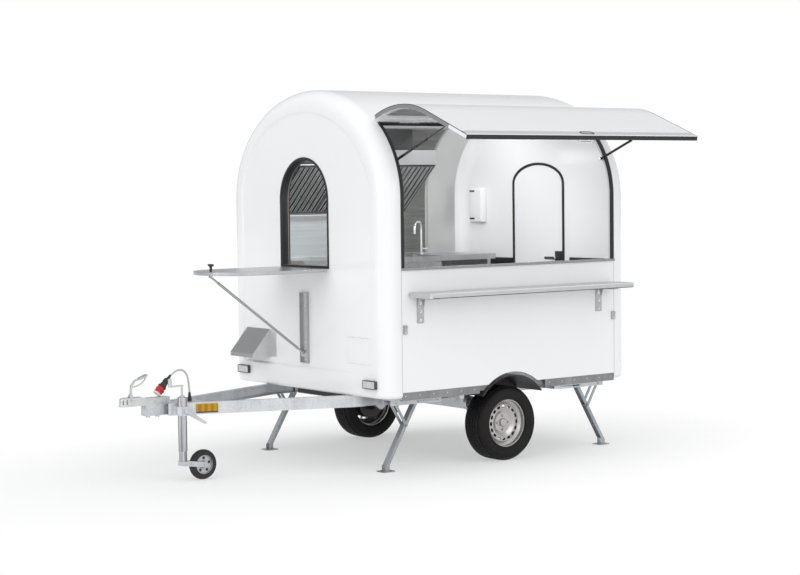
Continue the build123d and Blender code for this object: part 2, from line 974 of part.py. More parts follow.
# Stainless rain cowl with its back plate over the air vent
with BuildPart() as vent_cowl:
    with BuildSketch(end_plane(-panel_face - sheet)):
        with Locations((cowl_y - cowl_tail / 2, (cowl_top + cowl_bottom) / 2)):
            Rectangle(cowl_width + cowl_tail, cowl_top - cowl_bottom)
        with Locations((cowl_y, (cowl_top + cowl_bottom) / 2)):
            Rectangle(vent_width, vent_rise, mode=Mode.SUBTRACT)
    extrude(amount=sheet)
    with BuildSketch(side_plane(cowl_y)):
        with BuildLine():
            Polyline(
                (-panel_face - sheet / 2, cowl_top),
                (-panel_face - cowl_reach, cowl_bottom + cowl_lip),
                (-panel_face - cowl_reach, cowl_bottom),
                (-panel_face - cowl_reach + cowl_fold, cowl_bottom),
                (-panel_face - cowl_reach + cowl_fold, cowl_bottom + cowl_lip - sheet),
                (-panel_face - sheet / 2, cowl_top - cowl_fold),
                (-panel_face - sheet / 2, cowl_top),
            )
        make_face()
    extrude(amount=cowl_width / 2, both=True)
    for side in (-1, 1):
        with BuildSketch(side_plane(cowl_y + side * cowl_width / 2)):
            Polygon(
                (-panel_face - sheet / 2, cowl_top),
                (-panel_face - cowl_reach, cowl_bottom + cowl_lip),
                (-panel_face - cowl_reach, cowl_bottom),
                (-panel_face - sheet / 2, cowl_bottom),
            )
        extrude(amount=side * 2 * sheet)
save(vent_cowl, "vent_cowl")

# Small access door, hung at its upper edge
with BuildPart() as access_door:
    with BuildSketch(end_plane(-panel_face - seat)):
        with Locations((access_y, access_z)):
            RectangleRounded(access_width, access_height, access_corner)
    extrude(amount=access_plate)
    with BuildSketch(end_plane(-panel_face - seat)):
        with Locations((access_y, access_z)):
            RectangleRounded(access_width - 2 * access_rim, access_height - 2 * access_rim, access_corner)
    extrude(amount=access_plate / 4, mode=Mode.SUBTRACT)
    with BuildSketch(side_plane(access_y)):
        with Locations((access_axis_x, access_axis_z)):
            Circle(access_knuckle)
        with Locations((access_axis_x, access_axis_z - access_knuckle)):
            Rectangle(2 * access_knuckle, 2 * access_knuckle)
    extrude(amount=access_knuckle_length / 2, both=True)
    with BuildSketch(side_plane(access_y)):
        with Locations((access_axis_x, access_axis_z)):
            Circle(access_pin + play)
    extrude(amount=access_width, both=True, mode=Mode.SUBTRACT)
save(access_door, "access_door")

# Rear end cap with the doorway and the fixed half of the door hinges
door_axis_x = panel_face + door_axis_out
door_axis_y = door_half + knuckle_radius + 2
door_leaf_y = door_axis_y - door_leaf_width / 2 - knuckle_radius

with BuildPart() as rear_end_cap:
    add(cap_shell(1))
    with BuildSketch(end_plane(face)):
        add(door_cut)
    extrude(amount=-cap_depth, mode=Mode.SUBTRACT)
    for place in door_knuckle_z:
        with BuildSketch(level(place)):
            with Locations((door_axis_x, door_axis_y)):
                Circle(knuckle_radius)
            with Locations((door_axis_x - door_axis_out / 2, door_axis_y + knuckle_radius / 2)):
                Rectangle(door_axis_out, knuckle_radius)
            with Locations((panel_face + door_leaf / 2, door_axis_y + door_leaf_width / 2)):
                Rectangle(door_leaf, door_leaf_width)
        extrude(amount=door_knuckle_length)
        with BuildSketch(level(place)):
            with Locations((door_axis_x, door_axis_y)):
                Circle(knuckle_pin)
        extrude(amount=2 * door_knuckle_length)
save(rear_end_cap, "rear_end_cap")

# Arched rear door with its hinge leaves
with BuildPart() as rear_door:
    with BuildSketch(end_plane(inner_face)):
        add(door_outline(door_gap, door_bottom))
    extrude(amount=panel_face - inner_face)
    with BuildSketch(end_plane(panel_face)):
        add(door_outline(door_border, door_bottom + door_border))
    extrude(amount=-door_panel, mode=Mode.SUBTRACT)
    for place in door_knuckle_z:
        with BuildSketch(level(place + door_knuckle_length + loose)):
            with Locations((door_axis_x, door_axis_y)):
                Circle(knuckle_radius)
            with Locations((door_axis_x - door_axis_out / 2, door_axis_y - knuckle_radius)):
                Rectangle(door_axis_out, knuckle_radius * 2)
            with Locations((panel_face + door_leaf / 2, door_leaf_y)):
                Rectangle(door_leaf, door_leaf_width)
        extrude(amount=door_knuckle_length)
        with BuildSketch(level(place)):
            with Locations((door_axis_x, door_axis_y)):
                Circle(knuckle_pin + play)
        extrude(amount=3 * door_knuckle_length, mode=Mode.SUBTRACT)
    with BuildSketch(end_plane(face)):
        with Locations((lever_inset - door_half, lever_z)):
            Circle(lever_spindle + play)
    extrude(amount=-cap_depth, mode=Mode.SUBTRACT)
save(rear_door, "rear_door")

# Door handle: a spindle with a rose and a lever on each side
with BuildPart() as door_handle:
    handle_y = lever_inset - door_half
    with BuildSketch(end_plane(inner_face - lever_stand + lever_thickness)):
        with Locations((handle_y, lever_z)):
            Circle(lever_spindle)
    extrude(amount=panel_face - inner_face + 2 * lever_stand - 2 * lever_thickness)
    for start, depth in ((panel_face + seat, lever_thickness), (inner_face - seat, -lever_thickness)):
        with BuildSketch(end_plane(start)):
            with Locations((handle_y, lever_z)):
                Circle(2 * lever_thickness)
        extrude(amount=depth)
    lever_faces = (
        (panel_face + lever_stand, -lever_thickness),
        (inner_face - lever_stand, lever_thickness),
    )
    for start, depth in lever_faces:
        with BuildSketch(end_plane(start)):
            with Locations((handle_y + lever_length / 2 - lever_thickness, lever_z)):
                SlotOverall(lever_length, 2 * lever_thickness)
        extrude(amount=depth)
    ends = door_handle.faces().sort_by(Axis.X)
    fillet(ends[0].edges() + ends[-1].edges(), radius=lever_thickness / 3)
save(door_handle, "door_handle")

# Black seal round the serving opening, with holes for the strut studs
above_sill = sill_height + seat
strip_start = hinge_cut + hinge_tangent * seal_lip
low_cut = strip_start - hinge_normal * wall * 3
high_cut = strip_start + hinge_normal * wall * 3
past_strip = Polygon(
    (low_cut.X, low_cut.Y),
    (high_cut.X, high_cut.Y),
    (-far, high_cut.Y),
    (-far, 0),
    (low_cut.X, 0),
)
below_sill = Polygon((-far, 0), (far, 0), (far, above_sill), (-far, above_sill))

with BuildPart() as opening_seal:
    for start in (-half_length, half_length - seal_width):
        with BuildSketch(end_plane(start)):
            add(arch(seal_out, body_bottom))
            add(arch(seal_out - seal_depth, body_bottom - wall), mode=Mode.SUBTRACT)
            add(serving_side, mode=Mode.INTERSECT)
            add(below_sill, mode=Mode.SUBTRACT)
            with Locations((strut_wall_y, strut_wall_z)):
                Circle(stud_radius + stud_head, mode=Mode.SUBTRACT)
        extrude(amount=seal_width)
    with BuildSketch(end_plane(-half_length + seal_width)):
        add(outer_arch)
        add(inner_arch, mode=Mode.SUBTRACT)
        add(serving_side, mode=Mode.INTERSECT)
        add(past_strip, mode=Mode.SUBTRACT)
    extrude(amount=shell_length - 2 * seal_width)
save(opening_seal, "opening_seal")

# Studs of the gas struts on the cap edges
with BuildPart() as strut_studs:
    for side in (-1, 1):
        with BuildSketch(end_plane(side * half_length)):
            with Locations((strut_wall_y, strut_wall_z)):
                Circle(stud_radius)
        extrude(amount=-side * (half_length - strut_x + strut_stud_depth / 2))
        with BuildSketch(end_plane(side * (strut_x - gas_eye - seat))):
            with Locations((strut_wall_y, strut_wall_z)):
                Circle(stud_radius + stud_head)
        extrude(amount=-side * 2 * stud_head)
save(strut_studs, "strut_studs")


# A point measured from the hinge line: along the arch towards the serving side, and outwards
def from_hinge(along, out):
    point = hinge_point + hinge_tangent * along + hinge_normal * out
    return (point.X, point.Y)


knuckle_pitch = (shell_length - 2 * knuckle_end) / knuckle_count
knuckle_length = knuckle_pitch - loose
knuckle_starts = [-half_length + knuckle_end + knuckle_pitch * index for index in range(knuckle_count)]

# Hinge rail on the roof: leaf, every other knuckle and the pin
with BuildPart() as hinge_rail:
    with BuildSketch(end_plane(-half_length)):
        add(arch(rail_leaf, body_bottom))
        add(outer_arch, mode=Mode.SUBTRACT)
        Polygon(
            from_hinge(0, 0),
            from_hinge(0, -2 * hinge_stand),
            from_hinge(-rail_leaf_width, -2 * hinge_stand),
            from_hinge(-rail_leaf_width, 0),
            mode=Mode.INTERSECT,
        )
    extrude(amount=shell_length)
    for start in knuckle_starts[::2]:
        with BuildSketch(end_plane(start)):
            with Locations((hinge_point.X, hinge_point.Y)):
                Circle(knuckle_radius)
            Polygon(
                from_hinge(-knuckle_radius, 0),
                from_hinge(-knuckle_radius, rail_leaf / 2 - hinge_stand),
                from_hinge(-2, rail_leaf / 2 - hinge_stand),
                from_hinge(-2, 0),
            )
        extrude(amount=knuckle_length)
    with BuildSketch(end_plane(knuckle_starts[0])):
        with Locations((hinge_point.X, hinge_point.Y)):
            Circle(knuckle_pin)
    extrude(amount=shell_length - 2 * knuckle_end - loose)
save(hinge_rail, "hinge_rail")

# Serving hatch: the bent panel, opened to an awning, with a dished inside
hatch_front_x = -half_length - hatch_overlap
hatch_length = shell_length + 2 * hatch_overlap
hatch_start = knuckle_radius + hatch_edge_gap
hatch_side = Polygon(
    from_hinge(hatch_start, -4 * hinge_stand),
    from_hinge(hatch_start, 4 * hinge_stand),
    (-far, hinge_z + 4 * hinge_stand),
    (-far, hatch_bottom),
    (from_hinge(hatch_start, -4 * hinge_stand)[0], hatch_bottom),
)
hatch_dish = Polygon(
    from_hinge(hatch_start + hatch_border, -4 * hinge_stand),
    from_hinge(hatch_start + hatch_border, 4 * hinge_stand),
    (-far, hinge_z + 4 * hinge_stand),
    (-far, hatch_bottom + hatch_border),
    (from_hinge(hatch_start, -4 * hinge_stand)[0], hatch_bottom + hatch_border),
)
strut_hatch = Vector(-(half_width + hatch_stand - strut_lug), spring_height - strut_hatch_drop)

with BuildPart() as serving_hatch:
    with BuildSketch(open_plane(hatch_front_x)):
        add(arch(hatch_stand + hatch_thickness, body_bottom))
        add(arch(hatch_stand, body_bottom - wall), mode=Mode.SUBTRACT)
        add(hatch_side, mode=Mode.INTERSECT)
    extrude(amount=hatch_length)
    skin = serving_hatch.faces().sort_by(lambda one: one.area)[-1]
    fillet(skin.edges(), radius=hatch_round)
    with BuildSketch(open_plane(hatch_front_x + hatch_border)):
        add(arch(hatch_stand + hatch_tray, body_bottom))
        add(arch(hatch_stand, body_bottom - wall), mode=Mode.SUBTRACT)
        add(hatch_dish, mode=Mode.INTERSECT)
    extrude(amount=hatch_length - 2 * hatch_border, mode=Mode.SUBTRACT)
    for start in knuckle_starts[1::2]:
        with BuildSketch(open_plane(start)):
            with Locations((hinge_point.X, hinge_point.Y)):
                Circle(knuckle_radius)
            Polygon(
                from_hinge(0, -hatch_neck / 2),
                from_hinge(2 * knuckle_radius, -hatch_neck / 2),
                from_hinge(2 * knuckle_radius, hatch_neck / 2),
                from_hinge(0, hatch_neck / 2),
            )
            with Locations((hinge_point.X, hinge_point.Y)):
                Circle(knuckle_pin + play, mode=Mode.SUBTRACT)
        extrude(amount=knuckle_length)
    for side in (-1, 1):
        with BuildSketch(open_plane(side * (strut_x + gas_eye / 2 + loose))):
            with Locations((strut_hatch.X, strut_hatch.Y)):
                Circle(gas_radius)
            with Locations((strut_hatch.X - strut_lug / 2 - hatch_tray, strut_hatch.Y)):
                Rectangle(strut_lug + 2 * hatch_tray, 2 * gas_radius)
        extrude(amount=side * gas_eye)
save(serving_hatch, "serving_hatch")

# Grab handle at the hatch's outer edge
handle_z = hatch_bottom + hatch_grip_in
with BuildPart() as hatch_handle:
    grip_y = -(half_width + hatch_stand)
    with BuildLine(Plane(open_plane(hatch_grip_x).location * Pos(0, handle_z, 0) * Rot(90, 0, 0))) as grip:
        FilletPolyline(
            (grip_y - hatch_tray, -hatch_grip / 2),
            (grip_y + hatch_grip_out, -hatch_grip / 2),
            (grip_y + hatch_grip_out, hatch_grip / 2),
            (grip_y - hatch_tray, hatch_grip / 2),
            radius=hatch_grip_bend,
        )
    with BuildSketch(Plane(origin=grip.line @ 0, z_dir=grip.line % 0)):
        Circle(hatch_grip_bar)
    sweep()
save(hatch_handle, "hatch_handle")

# Gas struts: a cylinder on the wall stud and a rod towards the hatch
strut_open = swing(strut_hatch, hinge_point, -hatch_angle)
strut_wall = Vector(strut_wall_y, strut_wall_z)
gas_run = strut_open - strut_wall
gas_way = gas_run.normalized()
gas_closed = (strut_hatch - strut_wall).length
gas_start = gas_radius - 2


def gas_place(side, distance):
    spot = strut_wall + gas_way * distance
    return along_axis(side * strut_x, spot.X, spot.Y, (0, gas_way.X, gas_way.Y))


for side, end in ((-1, "front"), (1, "rear")):
    with BuildPart() as gas_cylinder:
        with BuildSketch(gas_place(side, gas_start)):
            Circle(gas_radius)
        extrude(amount=gas_body_length)
        fillet(gas_cylinder.faces().sort_by(Axis.Y)[0].edges(), radius=2)
        with BuildSketch(gas_place(side, gas_start + gas_radius * 2)):
            Circle(gas_rod + play)
        extrude(amount=gas_body_length, mode=Mode.SUBTRACT)
        with BuildSketch(end_plane(side * strut_x)):
            with Locations((strut_wall_y, strut_wall_z)):
                Circle(gas_radius + 1)
        extrude(amount=gas_eye, both=True)
        with BuildSketch(end_plane(side * strut_x)):
            with Locations((strut_wall_y, strut_wall_z)):
                Circle(stud_radius + play)
        extrude(amount=2 * gas_eye, both=True, mode=Mode.SUBTRACT)
    save(gas_cylinder, f"gas_cylinder_{end}")

    with BuildPart() as gas_piston:
        with BuildSketch(gas_place(side, gas_body_length - gas_overlap)):
            Circle(gas_rod)
        extrude(amount=gas_run.length - gas_body_length + gas_overlap)
        with BuildSketch(end_plane(side * strut_x)):
            with Locations((strut_open.X, strut_open.Y)):
                Circle(gas_radius)
        extrude(amount=gas_eye / 2, both=True)
    save(gas_piston, f"gas_rod_{end}")

# Folding counter: a folded sheet tray with two arms below it
counter_axis_y = -(half_width + counter_hinge_out)
counter_axis_z = counter_top - counter_thickness - bracket_plate / 2
counter_inner_y = -(half_width + counter_gap)
counter_length = counter_rear_x - counter_front_x
counter_mid = (counter_rear_x + counter_front_x) / 2

with BuildPart() as serving_counter:
    with BuildSketch(level(counter_top - counter_thickness)):
        with Locations((counter_mid, counter_inner_y - counter_reach / 2)):
            Rectangle(counter_length, counter_reach)
    extrude(amount=counter_thickness)
    outer = serving_counter.faces().sort_by(Axis.Y)[0]
    fillet(outer.edges().filter_by(Axis.Z), radius=counter_corner)
    top_edges = serving_counter.faces().sort_by(Axis.Z)[-1].edges()
    fillet(top_edges.sort_by(Axis.Y)[:-1], radius=counter_edge)
    with BuildSketch(level(counter_top - counter_thickness)):
        with Locations((counter_mid, counter_inner_y - counter_reach / 2)):
            RectangleRounded(
                counter_length - 2 * counter_sheet,
                counter_reach - 2 * counter_sheet,
                counter_corner - counter_sheet,
            )
    extrude(amount=counter_thickness - counter_sheet, mode=Mode.SUBTRACT)
    for side in (-1, 1):
        with BuildSketch(side_plane(counter_axis_y)):
            with Locations((side * bracket_x, counter_top - counter_thickness - bracket_plate / 2)):
                Rectangle(bracket_arm, bracket_plate)
            with Locations((side * bracket_x, counter_top - (counter_thickness + counter_sheet) / 2)):
                Rectangle(bracket_rib, counter_thickness - counter_sheet)
        extrude(amount=counter_arm)
        with BuildSketch(side_plane(counter_axis_y)):
            with Locations((side * bracket_x, counter_top - counter_thickness - bracket_plate / 2)):
                Rectangle(bracket_arm, bracket_plate)
        extrude(amount=-bracket_plate)
    with BuildSketch(end_plane(0)):
        with Locations((counter_axis_y, counter_axis_z)):
            Circle(hinge_bolt + play)
    extrude(amount=shell_length / 2, both=True, mode=Mode.SUBTRACT)
save(serving_counter, "serving_counter")

# Wall brackets of the counter with their ears and bolts, and the two clips that hold it folded
with BuildPart() as counter_fittings:
    for side in (-1, 1):
        with BuildSketch(side_plane(-half_width)):
            with Locations((side * bracket_x, counter_axis_z - bracket_drop - bracket_height / 2)):
                RectangleRounded(bracket_width, bracket_height, bracket_round)
        extrude(amount=bracket_plate / 2)
        for ear in (-1, 1):
            with BuildSketch(end_plane(side * bracket_x + ear * (bracket_arm / 2 + loose))):
                with Locations((counter_axis_y, counter_axis_z)):
                    Circle(ear_radius)
                Polygon(
                    (counter_axis_y, counter_axis_z + ear_radius),
                    (counter_axis_y - ear_radius, counter_axis_z),
                    (-half_width, counter_axis_z - bracket_height / 2),
                    (-half_width, counter_axis_z - bracket_drop),
                )
            extrude(amount=ear * ((bracket_width - bracket_arm) / 2 - loose))
        with BuildSketch(end_plane(side * bracket_x)):
            with Locations((counter_axis_y, counter_axis_z)):
                Circle(hinge_bolt)
        extrude(amount=bracket_width / 2, both=True)
    for place in clip_places:
        with BuildSketch(end_plane(place)):
            with Locations((-half_width - clip_depth / 2, clip_height)):
                RectangleRounded(clip_depth, clip_length, clip_depth / 4)
            with Locations((-half_width - clip_depth, clip_height + clip_length / 4)):
                Circle(clip_depth / 3)
        extrude(amount=clip_width / 2, both=True)
save(counter_fittings, "counter_fittings")

# Lamps: two in front, two behind, and the amber reflectors on the drawbar
with BuildPart() as lamps:
    for start, depth, spread, height, size in (
        (-face, -lamp_depth, lamp_y, lamp_z, (lamp_width, lamp_height)),
        (face, lamp_depth, tail_y, tail_z, (tail_width, tail_height)),
    ):
        with BuildSketch(end_plane(start)):
            for side in (-1, 1):
                with Locations((side * spread, height)):
                    RectangleRounded(size[0], size[1], lamp_round)
        extrude(amount=depth)
        with BuildSketch(end_plane(start + depth)):
            for side in (-1, 1):
                with Locations((side * spread, height)):
                    RectangleRounded(size[0] - 2 * lamp_rim, size[1] - 2 * lamp_rim, lamp_round - lamp_rim)
        extrude(amount=-depth / 8, mode=Mode.SUBTRACT)
    reflector_out = beam_width / 2
    for side in (-1, 1):
        middle_y = nose_y + (reflector_x - nose_x) * tan(beam_angle)
        outward = (-sin(beam_angle), side * cos(beam_angle), 0)
        beam_side = Plane(
            origin=(
                mid_x + reflector_x - reflector_out * sin(beam_angle),
                mid_y + side * (middle_y + reflector_out * cos(beam_angle)),
                beam_mid,
            ),
            x_dir=(0, 0, 1),
            z_dir=outward,
        )
        with BuildSketch(beam_side):
            RectangleRounded(reflector_height, reflector_length, reflector_corner)
        extrude(amount=reflector_depth)
save(lamps, "lamps")

# Range hood: a sheet box over the galley, open on its slanted side
hood_wall = half_width - wall - seat


def inner_arch_y(z):
    return (half_width - wall) * sqrt(1 - ((z - spring_height) / (arch_rise - wall)) ** 2)


hood_roof_y = inner_arch_y(hood_top) - hood_roof_gap
hood_side_y = inner_arch_y(hood_side_z) - hood_side_gap
hood_outline = (
    (hood_front_y, hood_bottom),
    (hood_front_y, hood_top),
    (hood_roof_y, hood_top),
    (hood_side_y, hood_side_z),
    (hood_wall, spring_height),
    (hood_wall, hood_low - hood_lip),
    (hood_wall - hood_foot, hood_low - hood_lip),
    (hood_wall - hood_foot, hood_low),
)

with BuildPart() as range_hood:
    with BuildSketch(end_plane(hood_front_x)):
        Polygon(*hood_outline)
    extrude(amount=hood_length)
    with BuildSketch(end_plane(hood_front_x + hood_sheet)):
        Polygon(
            (hood_front_y + hood_sheet, hood_bottom - filter_depth / 2),
            (hood_front_y + hood_sheet, hood_top - hood_sheet),
            (hood_roof_y - hood_sheet, hood_top - hood_sheet),
            (hood_side_y - hood_sheet, hood_side_z - hood_sheet),
            (hood_wall - hood_sheet, spring_height),
            (hood_wall - hood_sheet, hood_low - hood_lip + hood_sheet),
            (hood_wall - hood_foot + hood_sheet, hood_low - hood_lip + hood_sheet),
            (hood_wall - hood_foot + hood_sheet, hood_low - 2 * hood_sheet),
        )
    extrude(amount=hood_length - 2 * hood_sheet, mode=Mode.SUBTRACT)
save(range_hood, "range_hood")

# Baffle filters in the hood's slanted side
filter_low = Vector(hood_wall - hood_foot + hood_sheet, hood_low)
filter_high = Vector(hood_front_y + hood_sheet, hood_bottom)
filter_span = filter_low - filter_high
filter_way = filter_span.normalized()
filter_width = (hood_length - 2 * hood_sheet) / filter_count - seat
filter_plane = Plane(
    origin=(
        mid_x + (hood_front_x + hood_rear_x) / 2,
        mid_y + (filter_low.X + filter_high.X) / 2,
        (filter_low.Y + filter_high.Y) / 2,
    ),
    x_dir=(1, 0, 0),
    z_dir=(0, filter_way.Y, -filter_way.X),
)
filter_length = filter_span.length - 2 * filter_margin
baffle_pitch = (filter_width - 2 * filter_rim) / baffle_count

with BuildPart() as hood_filters:
    with BuildSketch(filter_plane):
        with GridLocations(filter_width + seat, 1, filter_count, 1):
            Rectangle(filter_width, filter_length)
    extrude(amount=-filter_depth)
    with BuildSketch(filter_plane):
        with GridLocations(filter_width + seat, 1, filter_count, 1):
            with GridLocations(baffle_pitch, 1, baffle_count, 1):
                Rectangle(baffle_pitch * 0.5, filter_length - 2 * filter_rim)
    extrude(amount=-filter_depth * 0.6, mode=Mode.SUBTRACT)
save(hood_filters, "hood_filters")

# Galley worktop on three upright panels
worktop_back = half_width - wall - seat
sink_centre = (tap_x - sink_width * 0.7, tap_y - sink_depth * 0.6)
with BuildPart() as worktop:
    with BuildSketch(level(worktop_top - worktop_thickness)):
        with Locations((0, (worktop_front_y + worktop_back) / 2)):
            Rectangle(worktop_length, worktop_back - worktop_front_y)
    extrude(amount=worktop_thickness)
    with BuildSketch(level(worktop_top - bowl_depth - bowl_sheet)):
        with Locations(sink_centre):
            RectangleRounded(sink_width + 2 * bowl_sheet, sink_depth + 2 * bowl_sheet, upright)
    extrude(amount=bowl_depth)
    with BuildSketch(level(worktop_top - bowl_depth)):
        with Locations(sink_centre):
            RectangleRounded(sink_width, sink_depth, upright)
    extrude(amount=bowl_depth, mode=Mode.SUBTRACT)
    with BuildSketch(level(floor_top + seat)):
        for place in (-worktop_length / 2 + upright, worktop_length / 2 - upright):
            with Locations((place, (worktop_front_y + worktop_back) / 2 + upright / 2)):
                Rectangle(upright, worktop_back - worktop_front_y - 2 * upright)
        with Locations((upright_x, (worktop_front_y + guard_inner_y) / 2)):
            Rectangle(upright, guard_inner_y - worktop_front_y - 2 * upright)
    extrude(amount=worktop_top - worktop_thickness - floor_top - seat)
save(worktop, "worktop")

# Swan-neck tap behind the sink
with BuildPart() as tap:
    with BuildSketch(level(worktop_top)):
        with Locations((tap_x, tap_y)):
            Circle(tap_base)
    extrude(amount=tap_base_height)
    spout = Vector(sink_centre[0] - tap_x, sink_centre[1] - tap_y).normalized()
    spout_plane = Plane(
        origin=(mid_x + tap_x, mid_y + tap_y, worktop_top),
        x_dir=(spout.X, spout.Y, 0),
        z_dir=(spout.Y, -spout.X, 0),
    )
    with BuildLine(spout_plane):
        FilletPolyline(
            (0, tap_tube),
            (0, tap_height),
            (tap_reach, tap_height),
            (tap_reach, tap_height - tap_tip),
            radius=tap_bend,
        )
    with BuildSketch(level(worktop_top + tap_tube)):
        with Locations((tap_x, tap_y)):
            Circle(tap_tube)
    sweep()
    with BuildSketch(end_plane(tap_x)):
        with Locations((tap_y, worktop_top + tap_lever_z)):
            Circle(tap_lever)
    extrude(amount=tap_lever_length)
save(tap, "tap")

# Rubber-sprung axle: a square tube with a trailing arm and a stub at each end
axle_top = beam_top - beam_height
axle_mid = axle_top - axle_tube / 2
arm_start = half_track - tyre_width / 2 - arm_clearance

with BuildPart() as torsion_axle:
    with BuildSketch(side_plane(0)):
        with Locations((-arm_reach, axle_mid)):
            RectangleRounded(axle_tube, axle_tube, axle_corner)
    extrude(amount=arm_start, both=True)
    for side in (-1, 1):
        with BuildSketch(side_plane(side * arm_start)):
            with Locations((-arm_reach, axle_mid)):
                Circle(arm_boss)
            with Locations((0, tyre_radius)):
                Circle(arm_eye)
            make_hull()
        extrude(amount=-side * arm_width)
        with BuildSketch(side_plane(side * (arm_start + arm_width))):
            with Locations((0, tyre_radius)):
                Circle(stub_radius)
        extrude(amount=-side * (half_track + hub_face - arm_start - arm_width))
save(torsion_axle, "torsion_axle")

# Wheels: rim with drum and hub, and the tyre; the profile's x is the radius and its y points outboard
half_tyre = tyre_width / 2
hub_inner = arm_start + arm_width - half_track + hub_clearance
flange_radius = rim_radius + rim_flange
wall_height = tyre_radius - flange_radius

for side, end in ((-1, "left"), (1, "right")):
    hub_centre = (mid_x, mid_y + side * half_track, tyre_radius)
    wheel_plane = Plane(origin=hub_centre, x_dir=(1, 0, 0), z_dir=(0, 0, side))
    spin = Axis(hub_centre, (0, 1, 0))
    with BuildPart() as rim:
        with BuildSketch(wheel_plane):
            with BuildLine():
                Polyline(
                    (flange_radius, rim_half + rim_plate),
                    (flange_radius, rim_half),
                    (rim_radius, rim_half - bead_slope),
                    (rim_radius, rim_half - bead_width),
                    (rim_well, well_half),
                    (rim_well, -well_half),
                    (rim_radius, bead_width - rim_half),
                    (rim_radius, bead_slope - rim_half),
                    (flange_radius, -rim_half),
                    (flange_radius, -rim_half - rim_plate),
                    (rim_radius - rim_plate, -rim_half),
                    (rim_radius - rim_plate, bead_width - rim_half),
                    (rim_well - rim_plate, -well_half),
                    (rim_well - rim_plate, well_half),
                    (rim_radius - rim_plate, rim_half - bead_width),
                    (rim_radius - rim_plate, rim_half),
                    close=True,
                )
            make_face()
            with BuildLine():
                Polyline(
                    (rim_well - loose, dish_edge - 2 * dish_half),
                    (rim_well - loose, dish_edge),
                    (rim_well - dish_lip, dish_out),
                    (vent_ring - dish_crown, dish_out + dish_half),
                    (hub_pad, hub_face),
                    (stub_radius + play, hub_face),
                    (stub_radius + play, hub_inner),
                    (drum_hub, hub_inner),
                    (drum_hub, drum_inner),
                    (drum_radius, drum_inner),
                    (drum_radius, drum_outer),
                    (hub_pad - pad_step, drum_outer),
                    (hub_pad - pad_step, hub_face - rim_plate),
                    (hub_pad, hub_face - rim_plate),
                    (vent_ring - dish_crown, dish_out - dish_half),
                    (rim_well - dish_crown, dish_out - 2 * dish_half),
                    close=True,
                )
            make_face()
        revolve(axis=spin)
        with BuildSketch(side_plane(side * (half_track + drum_outer + 1))):
            with Locations((0, tyre_radius)):
                with PolarLocations(vent_ring, vent_count):
                    SlotOverall(vent_length, vent_height, rotation=90)
        extrude(amount=-side * 3 * dish_out, mode=Mode.SUBTRACT)
        with BuildSketch(side_plane(side * (half_track + hub_face))):
            with Locations((0, tyre_radius)):
                with PolarLocations(bolt_ring, bolt_count):
                    RegularPolygon(bolt_size, 6)
        extrude(amount=-side * bolt_height)
        with BuildSketch(side_plane(side * (half_track + hub_face + loose))):
            with Locations((0, tyre_radius)):
                Circle(hub_cap)
        extrude(amount=-side * hub_cap_height)
        with BuildSketch(side_plane(side * (half_track + hub_face - 1))):
            with Locations((0, tyre_radius)):
                Circle(hub_cap)
                Circle(stub_radius + play, mode=Mode.SUBTRACT)
        extrude(amount=-side * dish_half)
        cap_face = rim.faces().filter_by(Axis.Y).sort_by(Axis.Y)[0 if side < 0 else -1]
        fillet(cap_face.edges(), radius=hub_cap_height / 2)
    save(rim, f"rim_{end}")

    with BuildPart() as tyre:
        with BuildSketch(wheel_plane):
            with BuildLine():
                Polyline(
                    (rim_radius + seat, 0),
                    (rim_radius + seat, rim_half - bead_slope - loose),
                    (flange_radius + seat, rim_half - seat),
                )
                Spline(
                    (flange_radius + seat, rim_half - seat),
                    (flange_radius + wall_height / 4, half_tyre - 6),
                    (flange_radius + wall_height / 2, half_tyre),
                    (tyre_radius - shoulder, half_tyre - 3),
                    (tyre_radius - tread_drop, tread_half + shoulder),
                    (tyre_radius, tread_half),
                    tangents=((0.2, 1), (0.05, -1)),
                )
                Polyline(
                    (tyre_radius, tread_half),
                    (tyre_radius, groove_at + groove_width),
                    (tyre_radius - groove_depth, groove_at + groove_width - 1),
                    (tyre_radius - groove_depth, groove_at + 1),
                    (tyre_radius, groove_at),
                    (tyre_radius, groove_width / 2),
                    (tyre_radius - groove_depth, groove_width / 2 - 1),
                    (tyre_radius - groove_depth, 0),
                    (rim_radius + seat, 0),
                )
            make_face()
        revolve(axis=spin)
        mirror(about=side_plane(side * half_track))
    save(tyre, f"tyre_{end}")

# Corner steadies: channel rails below the floor, each with a scissor leg and a strut
leg_rise = steady_strut * cos(radians(steady_lean))
leg_side = steady_strut * sin(radians(steady_lean))
steady_mid_z = steady_pin_z - leg_rise
leg_low = (steady_mid_z - foot_height) / cos(radians(steady_lean))
fold_turn = 90 - steady_lean - fold_rest
slide_folded = 2 * steady_strut * cos(radians(fold_rest))
rail_low = steady_pin_z - rail_skirt
steadies = (
    ("front_left", steady_front_x, 1, -1),
    ("front_right", steady_front_x, 1, 1),
    ("rear_left", steady_rear_x, -1, -1),
    ("rear_right", steady_rear_x, -1, 1),
)

